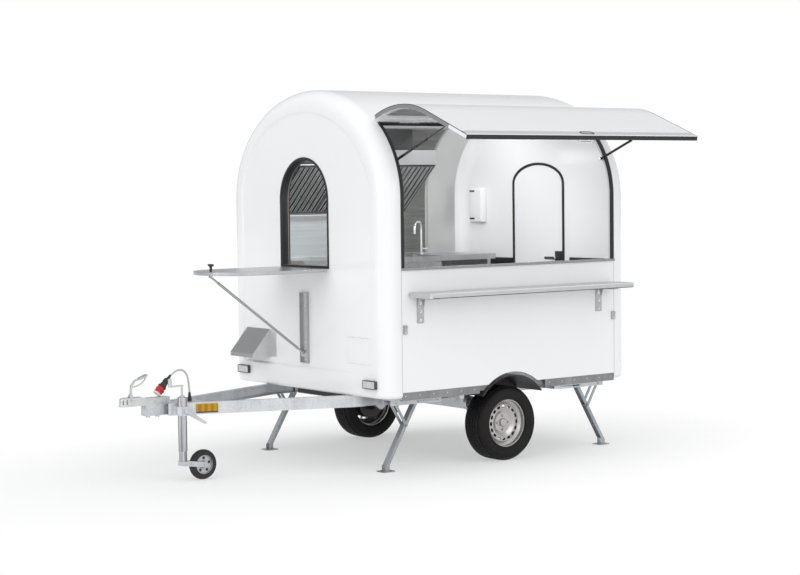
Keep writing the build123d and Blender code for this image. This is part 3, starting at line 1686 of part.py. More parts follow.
with BuildPart() as steady_rails:
    for name, middle, inward, side in steadies:
        anchor = middle - inward * leg_side
        run_from = anchor - inward * rail_over
        run_to = anchor + inward * (slide_folded + rail_over / 2)
        with BuildSketch(end_plane(run_from)):
            with Locations((side * steady_y, (rail_low + beam_top) / 2)):
                Rectangle(2 * rail_half, beam_top - rail_low)
            with Locations((side * steady_y, (rail_low + beam_top) / 2 - rail_wall)):
                Rectangle(2 * (rail_half - rail_wall), beam_top - rail_low, mode=Mode.SUBTRACT)
        extrude(amount=run_to - run_from)
        with BuildSketch(end_plane(run_from)):
            with Locations((side * steady_y, spindle_z)):
                Circle(spindle_radius)
        extrude(amount=run_to - run_from)
        for edge in (run_from, run_to - inward * rail_wall):
            with BuildSketch(end_plane(edge)):
                with Locations((side * steady_y, (spindle_z - spindle_under + beam_top) / 2)):
                    Rectangle(2 * rail_half, beam_top - spindle_z + spindle_under)
            extrude(amount=inward * rail_wall)
        slot_start = anchor + 2 * inward * leg_side
        slot_end = anchor + inward * slide_folded
        with BuildSketch(side_plane(side * steady_y)):
            with Locations((anchor, steady_pin_z)):
                Circle(steady_pin + play)
            with Locations(((slot_start + slot_end) / 2, steady_pin_z)):
                SlotCenterToCenter(abs(slot_end - slot_start), 2 * steady_pin + loose)
        extrude(amount=2 * rail_half, both=True, mode=Mode.SUBTRACT)
save(steady_rails, "steady_rails")

for name, middle, inward, side in steadies:
    centre_y = side * steady_y
    top_x = middle + inward * leg_side
    down = Vector(-inward * sin(radians(steady_lean)), -cos(radians(steady_lean)))
    leg_end_x = middle + down.X * leg_low
    leg_frame = Plane(
        origin=(mid_x + top_x, mid_y + centre_y, steady_pin_z), x_dir=(0, 1, 0), z_dir=(down.X, 0, down.Y)
    )
    with BuildPart() as leg:
        with BuildSketch(leg_frame.offset(-leg_over)):
            Rectangle(2 * leg_half, leg_depth)
            with Locations((0, inward * leg_wall)):
                Rectangle(2 * (leg_half - leg_wall), leg_depth, mode=Mode.SUBTRACT)
        extrude(amount=leg_over + steady_strut + leg_low)
        with BuildSketch(side_plane(centre_y)):
            with Locations((top_x, steady_pin_z)):
                Circle(steady_pin)
        extrude(amount=rail_half + pin_over, both=True)
        with BuildSketch(side_plane(centre_y)):
            with Locations((middle, steady_mid_z)):
                Circle(steady_pin + play)
        extrude(amount=2 * leg_half, both=True, mode=Mode.SUBTRACT)
        with BuildSketch(level(0)):
            with Locations((leg_end_x, centre_y)):
                RectangleRounded(foot_length, foot_width, foot_corner)
        extrude(amount=steady_foot_z)
        for ear in (-1, 1):
            with BuildSketch(side_plane(centre_y + ear * (leg_half - leg_wall))):
                with Locations((leg_end_x, foot_height)):
                    Circle(leg_depth / 2)
                with Locations((leg_end_x, foot_height / 2 + 1)):
                    Rectangle(foot_ear, foot_height - 2)
                make_hull()
            extrude(amount=-ear * leg_wall)
    save(leg, f"steady_leg_{name}")

    anchor = middle - inward * leg_side
    with BuildPart() as brace:
        for bar in (-1, 1):
            with BuildSketch(side_plane(centre_y + bar * (leg_half + loose))):
                with Locations((anchor, steady_pin_z), (middle, steady_mid_z)):
                    Circle(strut_bar / 2)
                make_hull()
            extrude(amount=-bar * strut_plate)
        with BuildSketch(side_plane(centre_y)):
            with Locations((middle, steady_mid_z)):
                Circle(steady_pin)
        extrude(amount=leg_half + loose + strut_plate + pin_over, both=True)
        with BuildSketch(side_plane(centre_y)):
            with Locations((anchor, steady_pin_z)):
                Circle(steady_pin)
        extrude(amount=rail_half + pin_over, both=True)
    save(brace, f"steady_strut_{name}")

# Jockey wheel: clamp on the drawbar, tube, inner tube, fork, wheel, crank and clamp lever
beam_out = beam_width / 2 / cos(beam_angle)


def beam_face(x):
    return -(nose_y + (x - nose_x) * tan(beam_angle) + beam_out + seat)


with BuildPart() as jockey_clamp:
    with BuildSketch(level(clamp_low)):
        with Locations((jockey_x, jockey_y)):
            Circle(jockey_tube + clamp_wall)
        Polygon(
            (jockey_x - clamp_foot, beam_face(jockey_x - clamp_foot)),
            (jockey_x - clamp_neck, jockey_y),
            (jockey_x + clamp_neck, jockey_y),
            (jockey_x + clamp_foot, beam_face(jockey_x + clamp_foot)),
        )
        with Locations((jockey_x, jockey_y - jockey_tube - clamp_wall)):
            Rectangle(clamp_lug, 2 * clamp_lug_out)
        with Locations((jockey_x, jockey_y)):
            Circle(jockey_tube + play, mode=Mode.SUBTRACT)
    extrude(amount=clamp_high - clamp_low)
    with BuildSketch(side_plane(jockey_y)):
        with Locations((jockey_x, clamp_axis_z)):
            Circle(steady_pin + play)
    extrude(amount=2 * jockey_tube, mode=Mode.SUBTRACT)
save(jockey_clamp, "jockey_clamp")

lever_y = jockey_y - jockey_tube - clamp_wall - clamp_lug_out
with BuildPart() as clamp_lever:
    with BuildSketch(side_plane(lever_y - seat)):
        with Locations((jockey_x, clamp_axis_z)):
            Circle(clamp_boss)
        with Locations((jockey_x + clamp_lever_x, clamp_axis_z - clamp_lever_drop)):
            Circle(clamp_tip)
        make_hull()
    extrude(amount=lever_plate)
    fillet(clamp_lever.faces().sort_by(Axis.Y)[0].edges(), radius=2)
    with BuildSketch(side_plane(lever_y - loose)):
        with Locations((jockey_x, clamp_axis_z)):
            Circle(steady_pin)
    extrude(amount=-lever_plate)
save(clamp_lever, "clamp_lever")

with BuildPart() as jockey_outer:
    with BuildSketch(level(jockey_tube_bottom)):
        with Locations((jockey_x, jockey_y)):
            Circle(jockey_tube)
    extrude(amount=jockey_tube_top - jockey_tube_bottom)
    fillet(jockey_outer.faces().sort_by(Axis.Z)[-1].edges(), radius=tube_edge)
    with BuildSketch(level(jockey_tube_bottom)):
        with Locations((jockey_x, jockey_y)):
            Circle(jockey_inner + play)
    extrude(amount=jockey_tube_top - jockey_tube_bottom - tube_cap, mode=Mode.SUBTRACT)
    with BuildSketch(level(jockey_tube_top)):
        with Locations((jockey_x, jockey_y)):
            Circle(crank_shaft + play)
    extrude(amount=-2 * tube_cap, mode=Mode.SUBTRACT)
save(jockey_outer, "jockey_tube")

with BuildPart() as jockey_slide:
    with BuildSketch(level(jockey_inner_bottom)):
        with Locations((jockey_x, jockey_y)):
            Circle(jockey_inner)
    extrude(amount=jockey_inner_top - jockey_inner_bottom)
    with BuildSketch(level(jockey_inner_bottom)):
        with Locations((jockey_x, jockey_y)):
            Circle(swivel_radius + play)
    extrude(amount=jockey_inner_top, mode=Mode.SUBTRACT)
save(jockey_slide, "jockey_inner_tube")

fork_half = jockey_wheel_width / 2 + fork_gap_side
hub_x = jockey_x + jockey_trail
with BuildPart() as jockey_fork:
    with BuildSketch(level(jockey_inner_bottom - seat)):
        with Locations((jockey_x + crown_shift, jockey_y)):
            RectangleRounded(crown_length, 2 * (fork_half + fork_plate), crown_corner)
    extrude(amount=-fork_crown)
    for ear in (-1, 1):
        with BuildSketch(side_plane(jockey_y + ear * fork_half)):
            with Locations((hub_x, jockey_wheel)):
                Circle(fork_eye)
            with Locations((jockey_x + crown_shift, jockey_inner_bottom - seat - fork_crown / 2)):
                Rectangle(crown_length - crown_corner, fork_crown)
            make_hull()
        extrude(amount=-ear * fork_plate)
    with BuildSketch(level(jockey_inner_bottom - fork_crown / 2)):
        with Locations((jockey_x, jockey_y)):
            Circle(swivel_radius)
    extrude(amount=swivel_length)
    with BuildSketch(side_plane(jockey_y)):
        with Locations((hub_x, jockey_wheel)):
            Circle(jockey_axle)
    extrude(amount=fork_half + axle_over, both=True)
save(jockey_fork, "jockey_fork")

jockey_hub = (mid_x + hub_x, mid_y + jockey_y, jockey_wheel)
half_jockey = jockey_wheel_width / 2
with BuildPart() as jockey_roller:
    with BuildSketch(Plane(origin=jockey_hub, x_dir=(1, 0, 0), z_dir=(0, 0, -1))):
        with BuildLine():
            Polyline(
                (jockey_wheel - tread_crown, 2 - half_jockey),
                (band_inner, 4 - half_jockey),
                (web_outer, -web_half),
                (web_inner, -web_half),
                (hub_radius, -half_jockey),
                (jockey_axle + play, -half_jockey),
                (jockey_axle + play, half_jockey),
                (hub_radius, half_jockey),
                (web_inner, web_half),
                (web_outer, web_half),
                (band_inner, half_jockey - 4),
                (jockey_wheel - tread_crown, half_jockey - 2),
            )
            ThreePointArc(
                (jockey_wheel - tread_crown, half_jockey - 2),
                (jockey_wheel, 0),
                (jockey_wheel - tread_crown, 2 - half_jockey),
            )
        make_face()
    revolve(axis=Axis(jockey_hub, (0, 1, 0)))
save(jockey_roller, "jockey_wheel")

with BuildPart() as jockey_crank:
    with BuildSketch(level(crank_foot)):
        with Locations((jockey_x, jockey_y)):
            Circle(crank_shaft)
    extrude(amount=crank_height - crank_foot)
    with BuildSketch(level(jockey_tube_top + seat)):
        with Locations((jockey_x, jockey_y)):
            Circle(collar_radius)
    extrude(amount=collar_height)
    with BuildSketch(level(crank_height - crank_plate / 2)):
        with Locations((jockey_x, jockey_y), (jockey_x - crank_arm, jockey_y)):
            Circle(crank_boss)
        make_hull()
    extrude(amount=crank_plate)
    with BuildSketch(level(crank_height)):
        with Locations((jockey_x - crank_arm, jockey_y)):
            Circle(knob_radius)
    extrude(amount=knob_height)
    fillet(jockey_crank.faces().sort_by(Axis.Z)[-1].edges(), radius=knob_radius / 2)
save(jockey_crank, "jockey_crank")

# Tow coupling: a pressed head with a ball socket, bolted on the tube, and its release handle
head_top = tube_top + head_height
handle_pin_z = head_top + handle_pin_rise
handle_run = [(handle_pin_x, handle_pin_z)]
handle_run += [(handle_pin_x + back, handle_pin_z + rise) for back, rise in handle_steps]
with BuildPart() as coupling_head:
    with BuildSketch(level(tube_top)):
        with Locations((ball_x, 0)):
            Circle(head_radius)
        with Locations((head_back_x - head_plate_length / 2, 0)):
            Rectangle(head_plate_length, head_width)
        make_hull()
    extrude(amount=head_height, taper=head_taper)
    fillet(coupling_head.faces().sort_by(Axis.Z)[-1].edges(), radius=head_round)
    with BuildSketch(side_plane(0)):
        Polygon(
            (ball_x + shank_start, head_top + loose),
            (head_back_x + loose, head_top + loose),
            (head_back_x + loose, head_top - shank_drop),
            (ball_x + shank_start + shank_slope, head_top - shank_drop),
        )
    extrude(amount=head_width, both=True, mode=Mode.SUBTRACT)
    for ear in (-1, 1):
        with BuildSketch(side_plane(ear * handle_half + ear * loose)):
            with Locations((handle_pin_x, handle_pin_z)):
                Circle(handle_ear)
            with Locations((handle_pin_x, head_top - handle_pin_rise)):
                Rectangle(handle_ear_foot, handle_pin_rise)
            make_hull()
        extrude(amount=-ear * handle_ear_plate)
        with BuildSketch(side_plane(ear * handle_half)):
            with Locations((handle_pin_x, handle_pin_z)):
                Circle(handle_pin + play)
        extrude(amount=-ear * 3 * handle_ear_plate, mode=Mode.SUBTRACT)
    with BuildSketch(level(tube_top)):
        with Locations((ball_x, 0)):
            Circle(ball_radius + ball_fit)
    extrude(amount=socket_depth, mode=Mode.SUBTRACT)
    with BuildSketch(side_plane(0)):
        with Locations((ball_x, tube_top + socket_depth)):
            Circle(ball_radius + ball_fit)
        with Locations((ball_x - far / 2, 0)):
            Rectangle(far, far, mode=Mode.SUBTRACT)
    revolve(axis=Axis((mid_x + ball_x, mid_y, 0), (0, 0, 1)), mode=Mode.SUBTRACT)
save(coupling_head, "coupling_head")

with BuildPart() as coupling_handle:
    with BuildSketch(side_plane(0)):
        with Locations((handle_pin_x, handle_pin_z)):
            Circle(handle_boss)
        with BuildLine():
            FilletPolyline(*handle_run, radius=handle_bend)
        trace(line_width=handle_bar)
    extrude(amount=handle_half, both=True)
    with BuildSketch(side_plane(0)):
        with Locations((handle_pin_x, handle_pin_z)):
            Circle(handle_pin)
    extrude(amount=handle_half + loose + handle_ear_plate, both=True)
    grip_start = Vector(*handle_run[-2])
    grip_end = Vector(*handle_run[-1])
    grip_way = (grip_end - grip_start).normalized()
    grip_plane = Plane(
        origin=(mid_x + grip_end.X, mid_y, grip_end.Y),
        x_dir=(grip_way.X, 0, grip_way.Y),
        z_dir=(-grip_way.Y, 0, grip_way.X),
    )
    with BuildSketch(grip_plane):
        with Locations((-grip_back, 0)):
            RectangleRounded(grip_length, grip_width, grip_corner)
        with Locations((-grip_hole_back, 0)):
            RectangleRounded(grip_hole_length, grip_hole_width, grip_hole_corner, mode=Mode.SUBTRACT)
    extrude(amount=handle_bar / 2, both=True)
save(coupling_handle, "coupling_handle")

# Parked towing plug, its cable and the gland on the nose plate
plug_way = Vector(cos(radians(plug_lean)), sin(radians(plug_lean)))
plug_tip = Vector(plug_rest_x, head_top - shank_drop + plug_radius * cos(radians(plug_lean)) + seat)
plug_rear = plug_tip + plug_way * plug_length


def plug_at(distance):
    spot = plug_tip + plug_way * distance
    return along_axis(spot.X, 0, spot.Y, (plug_way.X, 0, plug_way.Y))


with BuildPart() as supply_plug:
    with BuildSketch(plug_at(0)):
        Circle(plug_radius)
    extrude(amount=plug_shroud)
    with BuildSketch(plug_at(0)):
        Circle(plug_radius - plug_wall)
        Circle(plug_radius - 2 * plug_wall, mode=Mode.SUBTRACT)
    extrude(amount=plug_pit, mode=Mode.SUBTRACT)
    with BuildSketch(plug_at(plug_shroud)):
        Circle(plug_shoulder)
    with BuildSketch(plug_at(plug_waist_at)):
        Circle(plug_waist)
    with BuildSketch(plug_at(plug_length)):
        Circle(plug_tail)
    loft(ruled=True)
    with BuildSketch(plug_at(plug_band_at)):
        Circle(plug_radius + plug_band)
    extrude(amount=plug_band_width)
save(supply_plug, "supply_plug")

gland_top = tube_top + gland_height
cable_points = (
    (plug_rear.X, plug_rear.Y),
    (plug_rear.X + plug_way.X * cable_run, plug_rear.Y + plug_way.Y * cable_run),
    (gland_x - cable_crown_back, plug_rear.Y + plug_way.Y * cable_run - cable_crown_drop),
    (gland_x, gland_top + cable_drop),
    (gland_x, gland_top),
)


def bend_radius(before, corner, after):
    first = Vector(*corner) - Vector(*before)
    second = Vector(*after) - Vector(*corner)
    half_turn = radians(first.get_angle(second)) / 2
    return bend_share * min(first.length, second.length) / tan(half_turn)


cable_bends = [bend_radius(*cable_points[index : index + 3]) for index in range(len(cable_points) - 2)]
print("cable bends", [round(value) for value in cable_bends])

with BuildPart() as supply_cable:
    with BuildLine(side_plane(0)) as cable_line:
        FilletPolyline(*cable_points, radius=cable_bends)
    with BuildSketch(plug_at(plug_length)):
        Circle(cable_radius)
    sweep()
save(supply_cable, "supply_cable")
cable_length = sum(edge.length for edge in cable_line.edges())
print("cable volume", round(supply_cable.part.volume / (pi * cable_radius**2 * cable_length), 3))

with BuildPart() as cable_gland:
    with BuildSketch(level(tube_top)):
        with Locations((gland_x, 0)):
            RegularPolygon(gland_radius, 6)
    extrude(amount=gland_height / 2)
    with BuildSketch(level(tube_top + gland_height / 2)):
        with Locations((gland_x, 0)):
            Circle(gland_cap)
    extrude(amount=gland_height / 2)
    fillet(cable_gland.faces().sort_by(Axis.Z)[-1].edges(), radius=gland_round)
save(cable_gland, "cable_gland")
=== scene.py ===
from functools import cache, partialmethod
from itertools import product
from math import atan2, copysign, cos, pi, radians, sin

import bmesh
import bpy
from mathutils import Matrix, Vector
from mathutils.bvhtree import BVHTree


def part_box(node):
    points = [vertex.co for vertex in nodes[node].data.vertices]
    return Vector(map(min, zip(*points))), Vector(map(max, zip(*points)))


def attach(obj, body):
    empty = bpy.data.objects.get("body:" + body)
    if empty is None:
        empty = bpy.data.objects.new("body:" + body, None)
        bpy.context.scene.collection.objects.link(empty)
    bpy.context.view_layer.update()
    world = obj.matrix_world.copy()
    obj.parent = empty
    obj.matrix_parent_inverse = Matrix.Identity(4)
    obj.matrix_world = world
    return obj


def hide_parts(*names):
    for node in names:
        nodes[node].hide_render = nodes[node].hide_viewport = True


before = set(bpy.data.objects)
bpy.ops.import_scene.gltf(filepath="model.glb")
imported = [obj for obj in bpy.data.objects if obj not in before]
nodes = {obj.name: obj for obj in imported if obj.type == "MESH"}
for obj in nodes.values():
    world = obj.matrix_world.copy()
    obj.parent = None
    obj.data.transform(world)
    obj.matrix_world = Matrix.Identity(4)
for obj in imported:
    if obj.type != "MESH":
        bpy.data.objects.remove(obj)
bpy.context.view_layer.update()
scene = bpy.context.scene
shellLow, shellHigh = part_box("roof_shell")
capLow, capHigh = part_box("front_end_cap")
midX = (shellLow.x + shellHigh.x) / 2  # middle of the body, lengthways
midY = (capLow.y + capHigh.y) / 2  # middle of the body, across
print("frame loaded:", len(nodes), "nodes")

# what several pieces share, in millimetres from the middle of the body on the ground
halfWidth, springHeight, archRise = 940, 1850, 755  # of the shell
lining = {"x": (-990, 990), "foot": 1402, "lastAngle": 140, "sheet": 1.2, "joints": (180, 700)}
axle = {"x": 0, "z": 263, "track": 792}
jockeyHub = (-2050, -155, 100)
gland = (-2050, 0, 536)
plug = {"tip": (-2300, 0, 575), "way": (0.669, 0, 0.743), "length": 125}
inwards = Vector((0, 1, 0))  # from the serving side
backwards = Vector((1, 0, 0))  # from the front
upwards = Vector((0, 0, 1))
sides = ((-1, inwards), (1, -inwards))  # serving side and far side, each with its way in


def at(x, y, z):  # millimetres to a point of the frame
    return Vector((midX + x / 1000, midY + y / 1000, z / 1000))


def span(x, y, z):  # low and high corner of a box, from its ranges
    return [at(*corner) for corner in zip(x, y, z)]


def around(middle, half):
    return middle - half, middle + half


def steps(first, last, count):
    return [first + (last - first) * index / (count - 1) for index in range(count)]


def show(name, data):
    thing = bpy.data.objects.new(name, data)
    scene.collection.objects.link(thing)
    return thing


# camera
view = {"spot": (-8435.4, -10718, 1933.4), "yaw": 0.9195, "pitch": -0.0548, "roll": 0.0122,
        "lens": 83.62, "sensor": 36, "far": 200}
level = cos(view["pitch"])
forward = Vector((cos(view["yaw"]) * level, sin(view["yaw"]) * level, sin(view["pitch"])))
right = Vector((sin(view["yaw"]), -cos(view["yaw"]), 0))
up = right.cross(forward)
tiltCos, tiltSin = cos(view["roll"]), sin(view["roll"])
cameraData = bpy.data.cameras.new("viewCamera")
cameraData.lens = view["lens"]
cameraData.sensor_width = view["sensor"]
cameraData.sensor_fit = "HORIZONTAL"
cameraData.clip_end = view["far"]
camera = show("viewCamera", cameraData)
axes = Matrix((right * tiltCos - up * tiltSin, right * tiltSin + up * tiltCos, -forward))
camera.matrix_world = axes.transposed().to_4x4()
camera.location = at(*view["spot"])
scene.camera = camera
scene.view_settings.view_transform = "Standard"
print("camera placed")


# nodes written as sums
class Wire:
    def __init__(self, tree, socket=None):
        self.tree = tree
        self.socket = socket

    def node(self, kind, settings=None, sockets=None, out=0):
        made = self.tree.nodes.new(kind)
        for name, value in (settings or {}).items():
            if name == "stops":
                ramp = made.color_ramp
                while len(ramp.elements) < len(value):
                    ramp.elements.new(0.5)
                for element, (spot, colour) in zip(ramp.elements, value):
                    element.position = spot
                    element.color = (*colour, 1)
            else:
                setattr(made, name, value)
        for name, value in (sockets or {}).items():
            if isinstance(value, Wire):
                self.tree.links.new(value.socket, made.inputs[name])
            else:
                made.inputs[name].default_value = value
        return Wire(self.tree, made.outputs[out] if len(made.outputs) else None)

    def maths(self, operation, other=0):
        return self.node("ShaderNodeMath", {"operation": operation}, {0: self, 1: other})

    def __rsub__(self, other):
        return self.node("ShaderNodeMath", {"operation": "SUBTRACT"}, {0: other, 1: self})

    __add__ = partialmethod(maths, "ADD")
    __sub__ = partialmethod(maths, "SUBTRACT")
    __mul__ = partialmethod(maths, "MULTIPLY")
    __truediv__ = partialmethod(maths, "DIVIDE")
    __pow__ = partialmethod(maths, "POWER")
    __abs__ = partialmethod(maths, "ABSOLUTE")

    def vector(self, x=0, y=0, z=0):
        return self.node("ShaderNodeCombineXYZ", sockets={0: x, 1: y, 2: z})


def grain(place, scale, stretch=(1, 1, 1), detail=3, rough=0.5):  # noise, drawn out along an axis if wanted
    spot = place.node("ShaderNodeMapping", sockets={"Vector": place, "Scale": stretch})
    return place.node("ShaderNodeTexNoise", sockets={
        "Vector": spot, "Scale": scale, "Detail": detail, "Roughness": rough})


def cells(place, scale, out=0):
    return place.node("ShaderNodeTexVoronoi", sockets={"Vector": place, "Scale": scale}, out=out)


def flakes(place, scale):  # one shade for each cell
    return place.node("ShaderNodeSeparateColor", sockets={0: cells(place, scale, "Color")})


def tint(mask, low, high):  # a colour between two, by a mask
    low, high = (colour if isinstance(colour, Wire) else (*colour, 1) for colour in (low, high))
    return mask.node("ShaderNodeMix", {"data_type": "RGBA"}, {0: mask, 6: low, 7: high}, out=2)


def spread(mask, low, high, fromLow=0.3, fromHigh=0.7):  # a mask's range moved to another; most noise is in 0.3 to 0.7
    return mask.node("ShaderNodeMapRange", sockets={0: mask, 1: fromLow, 2: fromHigh, 3: low, 4: high})


def relief(height, strength, depth):  # bump, depth in metres
    return height.node("ShaderNodeBump", sockets={"Height": height, "Strength": strength, "Distance": depth})


def distance(place, axis, start=0):  # metres along an axis, from a start in millimetres
    middle = {"X": midX, "Y": midY, "Z": 0}[axis]
    return place.node("ShaderNodeSeparateXYZ", sockets={0: place}, out=axis) - (middle + start / 1000)


def past(value, limit, soft=0.0005):  # 0 below a limit, 1 above it
    return spread(value, 0, 1, limit - soft, limit + soft)


def short(value, limit):  # 1 below a limit, 0 above it
    return past(limit - value, 0)


def hypot(first, second):
    return (first * first + second * second) ** 0.5


# finishes: each function gives what varies over a place
def skin(colour, mask, rough, bump):  # a colour, a range of roughness by a mask, and relief
    return {"Base Color": colour, "Roughness": spread(mask, *rough), "Normal": relief(*bump)}


def gelcoat(place):  # sprayed white with a faint orange peel and long soft waves
    colour = tint(grain(place, 1.7, detail=2), (0.872, 0.879, 0.886), (0.896, 0.901, 0.905))
    peel, wave = grain(place, 260, detail=2), grain(place, 2.6, detail=1)
    return skin(colour, grain(place, 9), (0.13, 0.19), (peel * 0.04 + wave, 0.1, 0.004))


def zincCoat(*tones):  # hot-dip zinc: fine crystals under a dull, cloudy skin
    def draw(place):
        facet, cloud = flakes(place, 140), grain(place, 6, detail=5)
        mixed = facet * 0.16 + cloud * 0.6 + grain(place, 26, (1, 1, 0.12)) * 0.3
        colour = place.node("ShaderNodeValToRGB", {"stops": tuple(zip((0.25, 0.55, 0.85), tones))}, {0: mixed})
        made = skin(colour, mixed, (0.46, 0.3, 0.2, 0.9), (facet * 0.15 + grain(place, 160), 0.1, 0.002))
        made["Metallic"] = spread(cloud, 0.7, 0.85)
        return made

    return draw


def tubeSteel(place):  # drawn tube, plated bright, with faint draw lines in its relief and painted reflection streaks in its colour
    cloud = grain(place, 8, detail=4)
    # long bands along the tube, dark and bright: painted reflections
    paintedReflectionStreak = spread(grain(place, 64, (1, 1, 0.01), detail=1), 0, 1, 0.38, 0.62)
    colour = tint(cloud * 0.2 + paintedReflectionStreak * 0.8, (0.16, 0.165, 0.175), (0.68, 0.69, 0.71))
    return skin(colour, cloud, (0.05, 0.1), (grain(place, 600, (1, 1, 0.02), detail=2), 0.03, 0.0003))


def brushed(low=(0.4, 0.41, 0.42), high=(0.56, 0.57, 0.58), gloss=0.22, way="x"):  # steel sheet, brushed one way
    stretch = tuple(0.02 if axis == way else 1.0 for axis in "xyz")

    def draw(place):
        line, cloud = grain(place, 900, stretch, detail=2, rough=0.7), grain(place, 3.5)
        colour = tint(cloud * 0.3 + line * 0.7, low, high)
        return skin(colour, line * 0.5 + cloud * 0.5, (gloss, gloss + 0.16), (line, 0.1, 0.0006))

    return draw


dullSheet = brushed((0.31, 0.312, 0.315), (0.41, 0.412, 0.415), 0.24)


def liningSheet(place):  # bright, dark and pale sheets, changing at the joints; the dark middle sheet is painted shade on the steel
    made = brushed(gloss=0.3)(place)
    streak = spread(grain(place, 70, (0.03, 1, 1), detail=4, rough=0.7), 0, 1, 0.35, 0.65)
    bright = tint(streak, (0.5, 0.53, 0.54), (0.58, 0.61, 0.62))
    # painted shade: the same steel drawn dark between the joints
    dark = tint(streak, (0.17, 0.17, 0.163), (0.24, 0.24, 0.23))
    pale = tint(grain(place, 4), (0.6, 0.61, 0.6), (0.7, 0.705, 0.695))
    first, second = (past(distance(place, "X", joint), 0) for joint in lining["joints"])
    made["Base Color"] = tint(second, tint(first, bright, dark), pale)
    return made


def cowlSheetPaintedLight(place):  # folded sheet, dark as painted shade, with its cheek painted paler as painted light
    made = dullSheet(place)
    cheekEnd = 453.5
    # painted light: the cheek drawn paler than the rest of the sheet, which stays dark as painted shade
    made["Base Color"] = tint(past(distance(place, "Y", cheekEnd), 0), (0.66, 0.66, 0.665), made["Base Color"])
    return made


def clouded(scale, low, high, rough, fine, bump, fineDetail=2):  # cloudy colour and gloss over a fine grain
    def draw(place):
        cloud = grain(place, scale, detail=4)
        return skin(tint(cloud, low, high), cloud, rough, (grain(place, fine, detail=fineDetail), *bump))

    return draw


rubber = clouded(14, (0.01, 0.01, 0.011), (0.026, 0.026, 0.028), (0.42, 0.6), 420, (0.12, 0.0008))


def sealEdge(place):  # rubber on the outer lip, the cut edge of the wall white behind it
    made = rubber(place)
    rise = distance(place, "Z", springHeight).maths("MAXIMUM")
    arch = hypot(distance(place, "Y") / (halfWidth / 1000), rise / (archRise / 1000))
    made["Base Color"] = tint(past(arch, 0.9875, 0.0006), (0.66, 0.67, 0.68), made["Base Color"])
    return made


def revealRubber(place):  # black reveal of the window with a pale line near its inner edge
    made = rubber(place)
    lineFrom, lineTo = (distance(place, "X", edge) for edge in (-1047, -1039))
    made["Base Color"] = tint(past(lineFrom, 0) * short(lineTo, 0), made["Base Color"], (0.2, 0.18, 0.16))
    return made


def tyreCompound(place):  # carbon rubber with a little dust
    cloud, fine = grain(place, 9, detail=4), grain(place, 260)
    colour = tint(cloud * 0.7 + fine * 0.3, (0.004, 0.004, 0.0043), (0.012, 0.0115, 0.011))
    return skin(colour, cloud, (0.55, 0.75), (fine, 0.2, 0.0008))


def mouldedPlastic(low, high, gloss):
    def draw(place):
        cloud = grain(place, 22)
        return skin(tint(cloud, low, high), cloud, (gloss, gloss + 0.14), (cells(place, 900), 0.08, 0.0006))

    return draw


def silverPaint(place):  # wheel lacquer with a fine flake, and painted shade, near black, on the drum behind the vents
    drum = {"face": 0.811, "radius": 0.152}
    film = grain(place, 12, detail=5)
    lacquer = tint(film * 0.6 + flakes(place, 1400) * 0.4, (0.33, 0.312, 0.308), (0.62, 0.592, 0.585))
    radius = hypot(distance(place, "X", axle["x"]), distance(place, "Z", axle["z"]))
    # painted shade: inside the vents the drum is drawn near black
    deep = short(abs(distance(place, "Y")), drum["face"]) * short(radius, drum["radius"])
    return {
        "Base Color": tint(deep, lacquer, (0.016, 0.015, 0.015)),
        "Roughness": spread(film, 0.15, 0.27) + deep * 0.35,
        "Metallic": 0.7 - deep * 0.6,
        "Normal": relief(grain(place, 200), 0.06, 0.0008),
    }


def polished(place):  # bright plating with faint wipe marks
    wipe = grain(place, 60, (1, 1, 0.2))
    return {
        "Base Color": tint(wipe, (0.74, 0.75, 0.76), (0.84, 0.845, 0.85)),
        "Roughness": spread(wipe, 0.07, 0.16),
    }


def vinylFloor(place):  # grey sheet with a raised grain
    speck, cloud = cells(place, 260), grain(place, 5)
    colour = tint(cloud * 0.6 + speck * 0.6, (0.2, 0.21, 0.22), (0.34, 0.35, 0.36))
    return skin(colour, cloud, (0.45, 0.6), (speck, 0.3, 0.0008))


def lampGlass(place):  # fluted lenses: clear in front, amber on the drawbar, red and amber behind
    drawbarEnd, amberFoot, rearSplit = -1.5, 0.4535, 0.738
    x, y, z = (distance(place, axis) for axis in "XYZ")
    cloud = grain(place, 25)
    clear = tint(cloud, (0.5, 0.51, 0.52), (0.72, 0.73, 0.74))
    prism = past(((x + y) * 260).maths("SINE"), 0.2, 0.5)
    amber = tint(prism, (0.36, 0.19, 0.001), (0.53, 0.285, 0.002))
    amber = tint(past(z, amberFoot, 0.002), (0.1, 0.05, 0.004), amber)  # its foot lies in a dark rim
    red = tint(cloud, (0.42, 0.008, 0.008), (0.58, 0.02, 0.016))
    front = tint(short(x, drawbarEnd), clear, amber)
    rear = tint(past(abs(y), rearSplit), red, amber)
    flute = ((x + y) * 900).maths("SINE")
    return skin(tint(past(x, 0), front, rear), cloud, (0.06, 0.12), (flute, 0.25, 0.0008))


def plugBody(place):  # red shell with a pale rim, black behind
    rim, collarAt = 0.009, 0.056  # distances from the tip
    (tipX, _, tipZ), (wayX, _, wayZ) = plug["tip"], plug["way"]
    far = distance(place, "X", tipX) * wayX + distance(place, "Z", tipZ) * wayZ
    cloud = grain(place, 22)
    red = tint(cloud, (0.46, 0.01, 0.012), (0.6, 0.018, 0.018))
    black = tint(cloud, (0.01, 0.01, 0.011), (0.024, 0.024, 0.026))
    colour = tint(past(far, collarAt), tint(past(far, rim), (0.72, 0.66, 0.66), red), black)
    return skin(colour, cloud, (0.26, 0.4), (grain(place, 700, detail=2), 0.08, 0.0006))


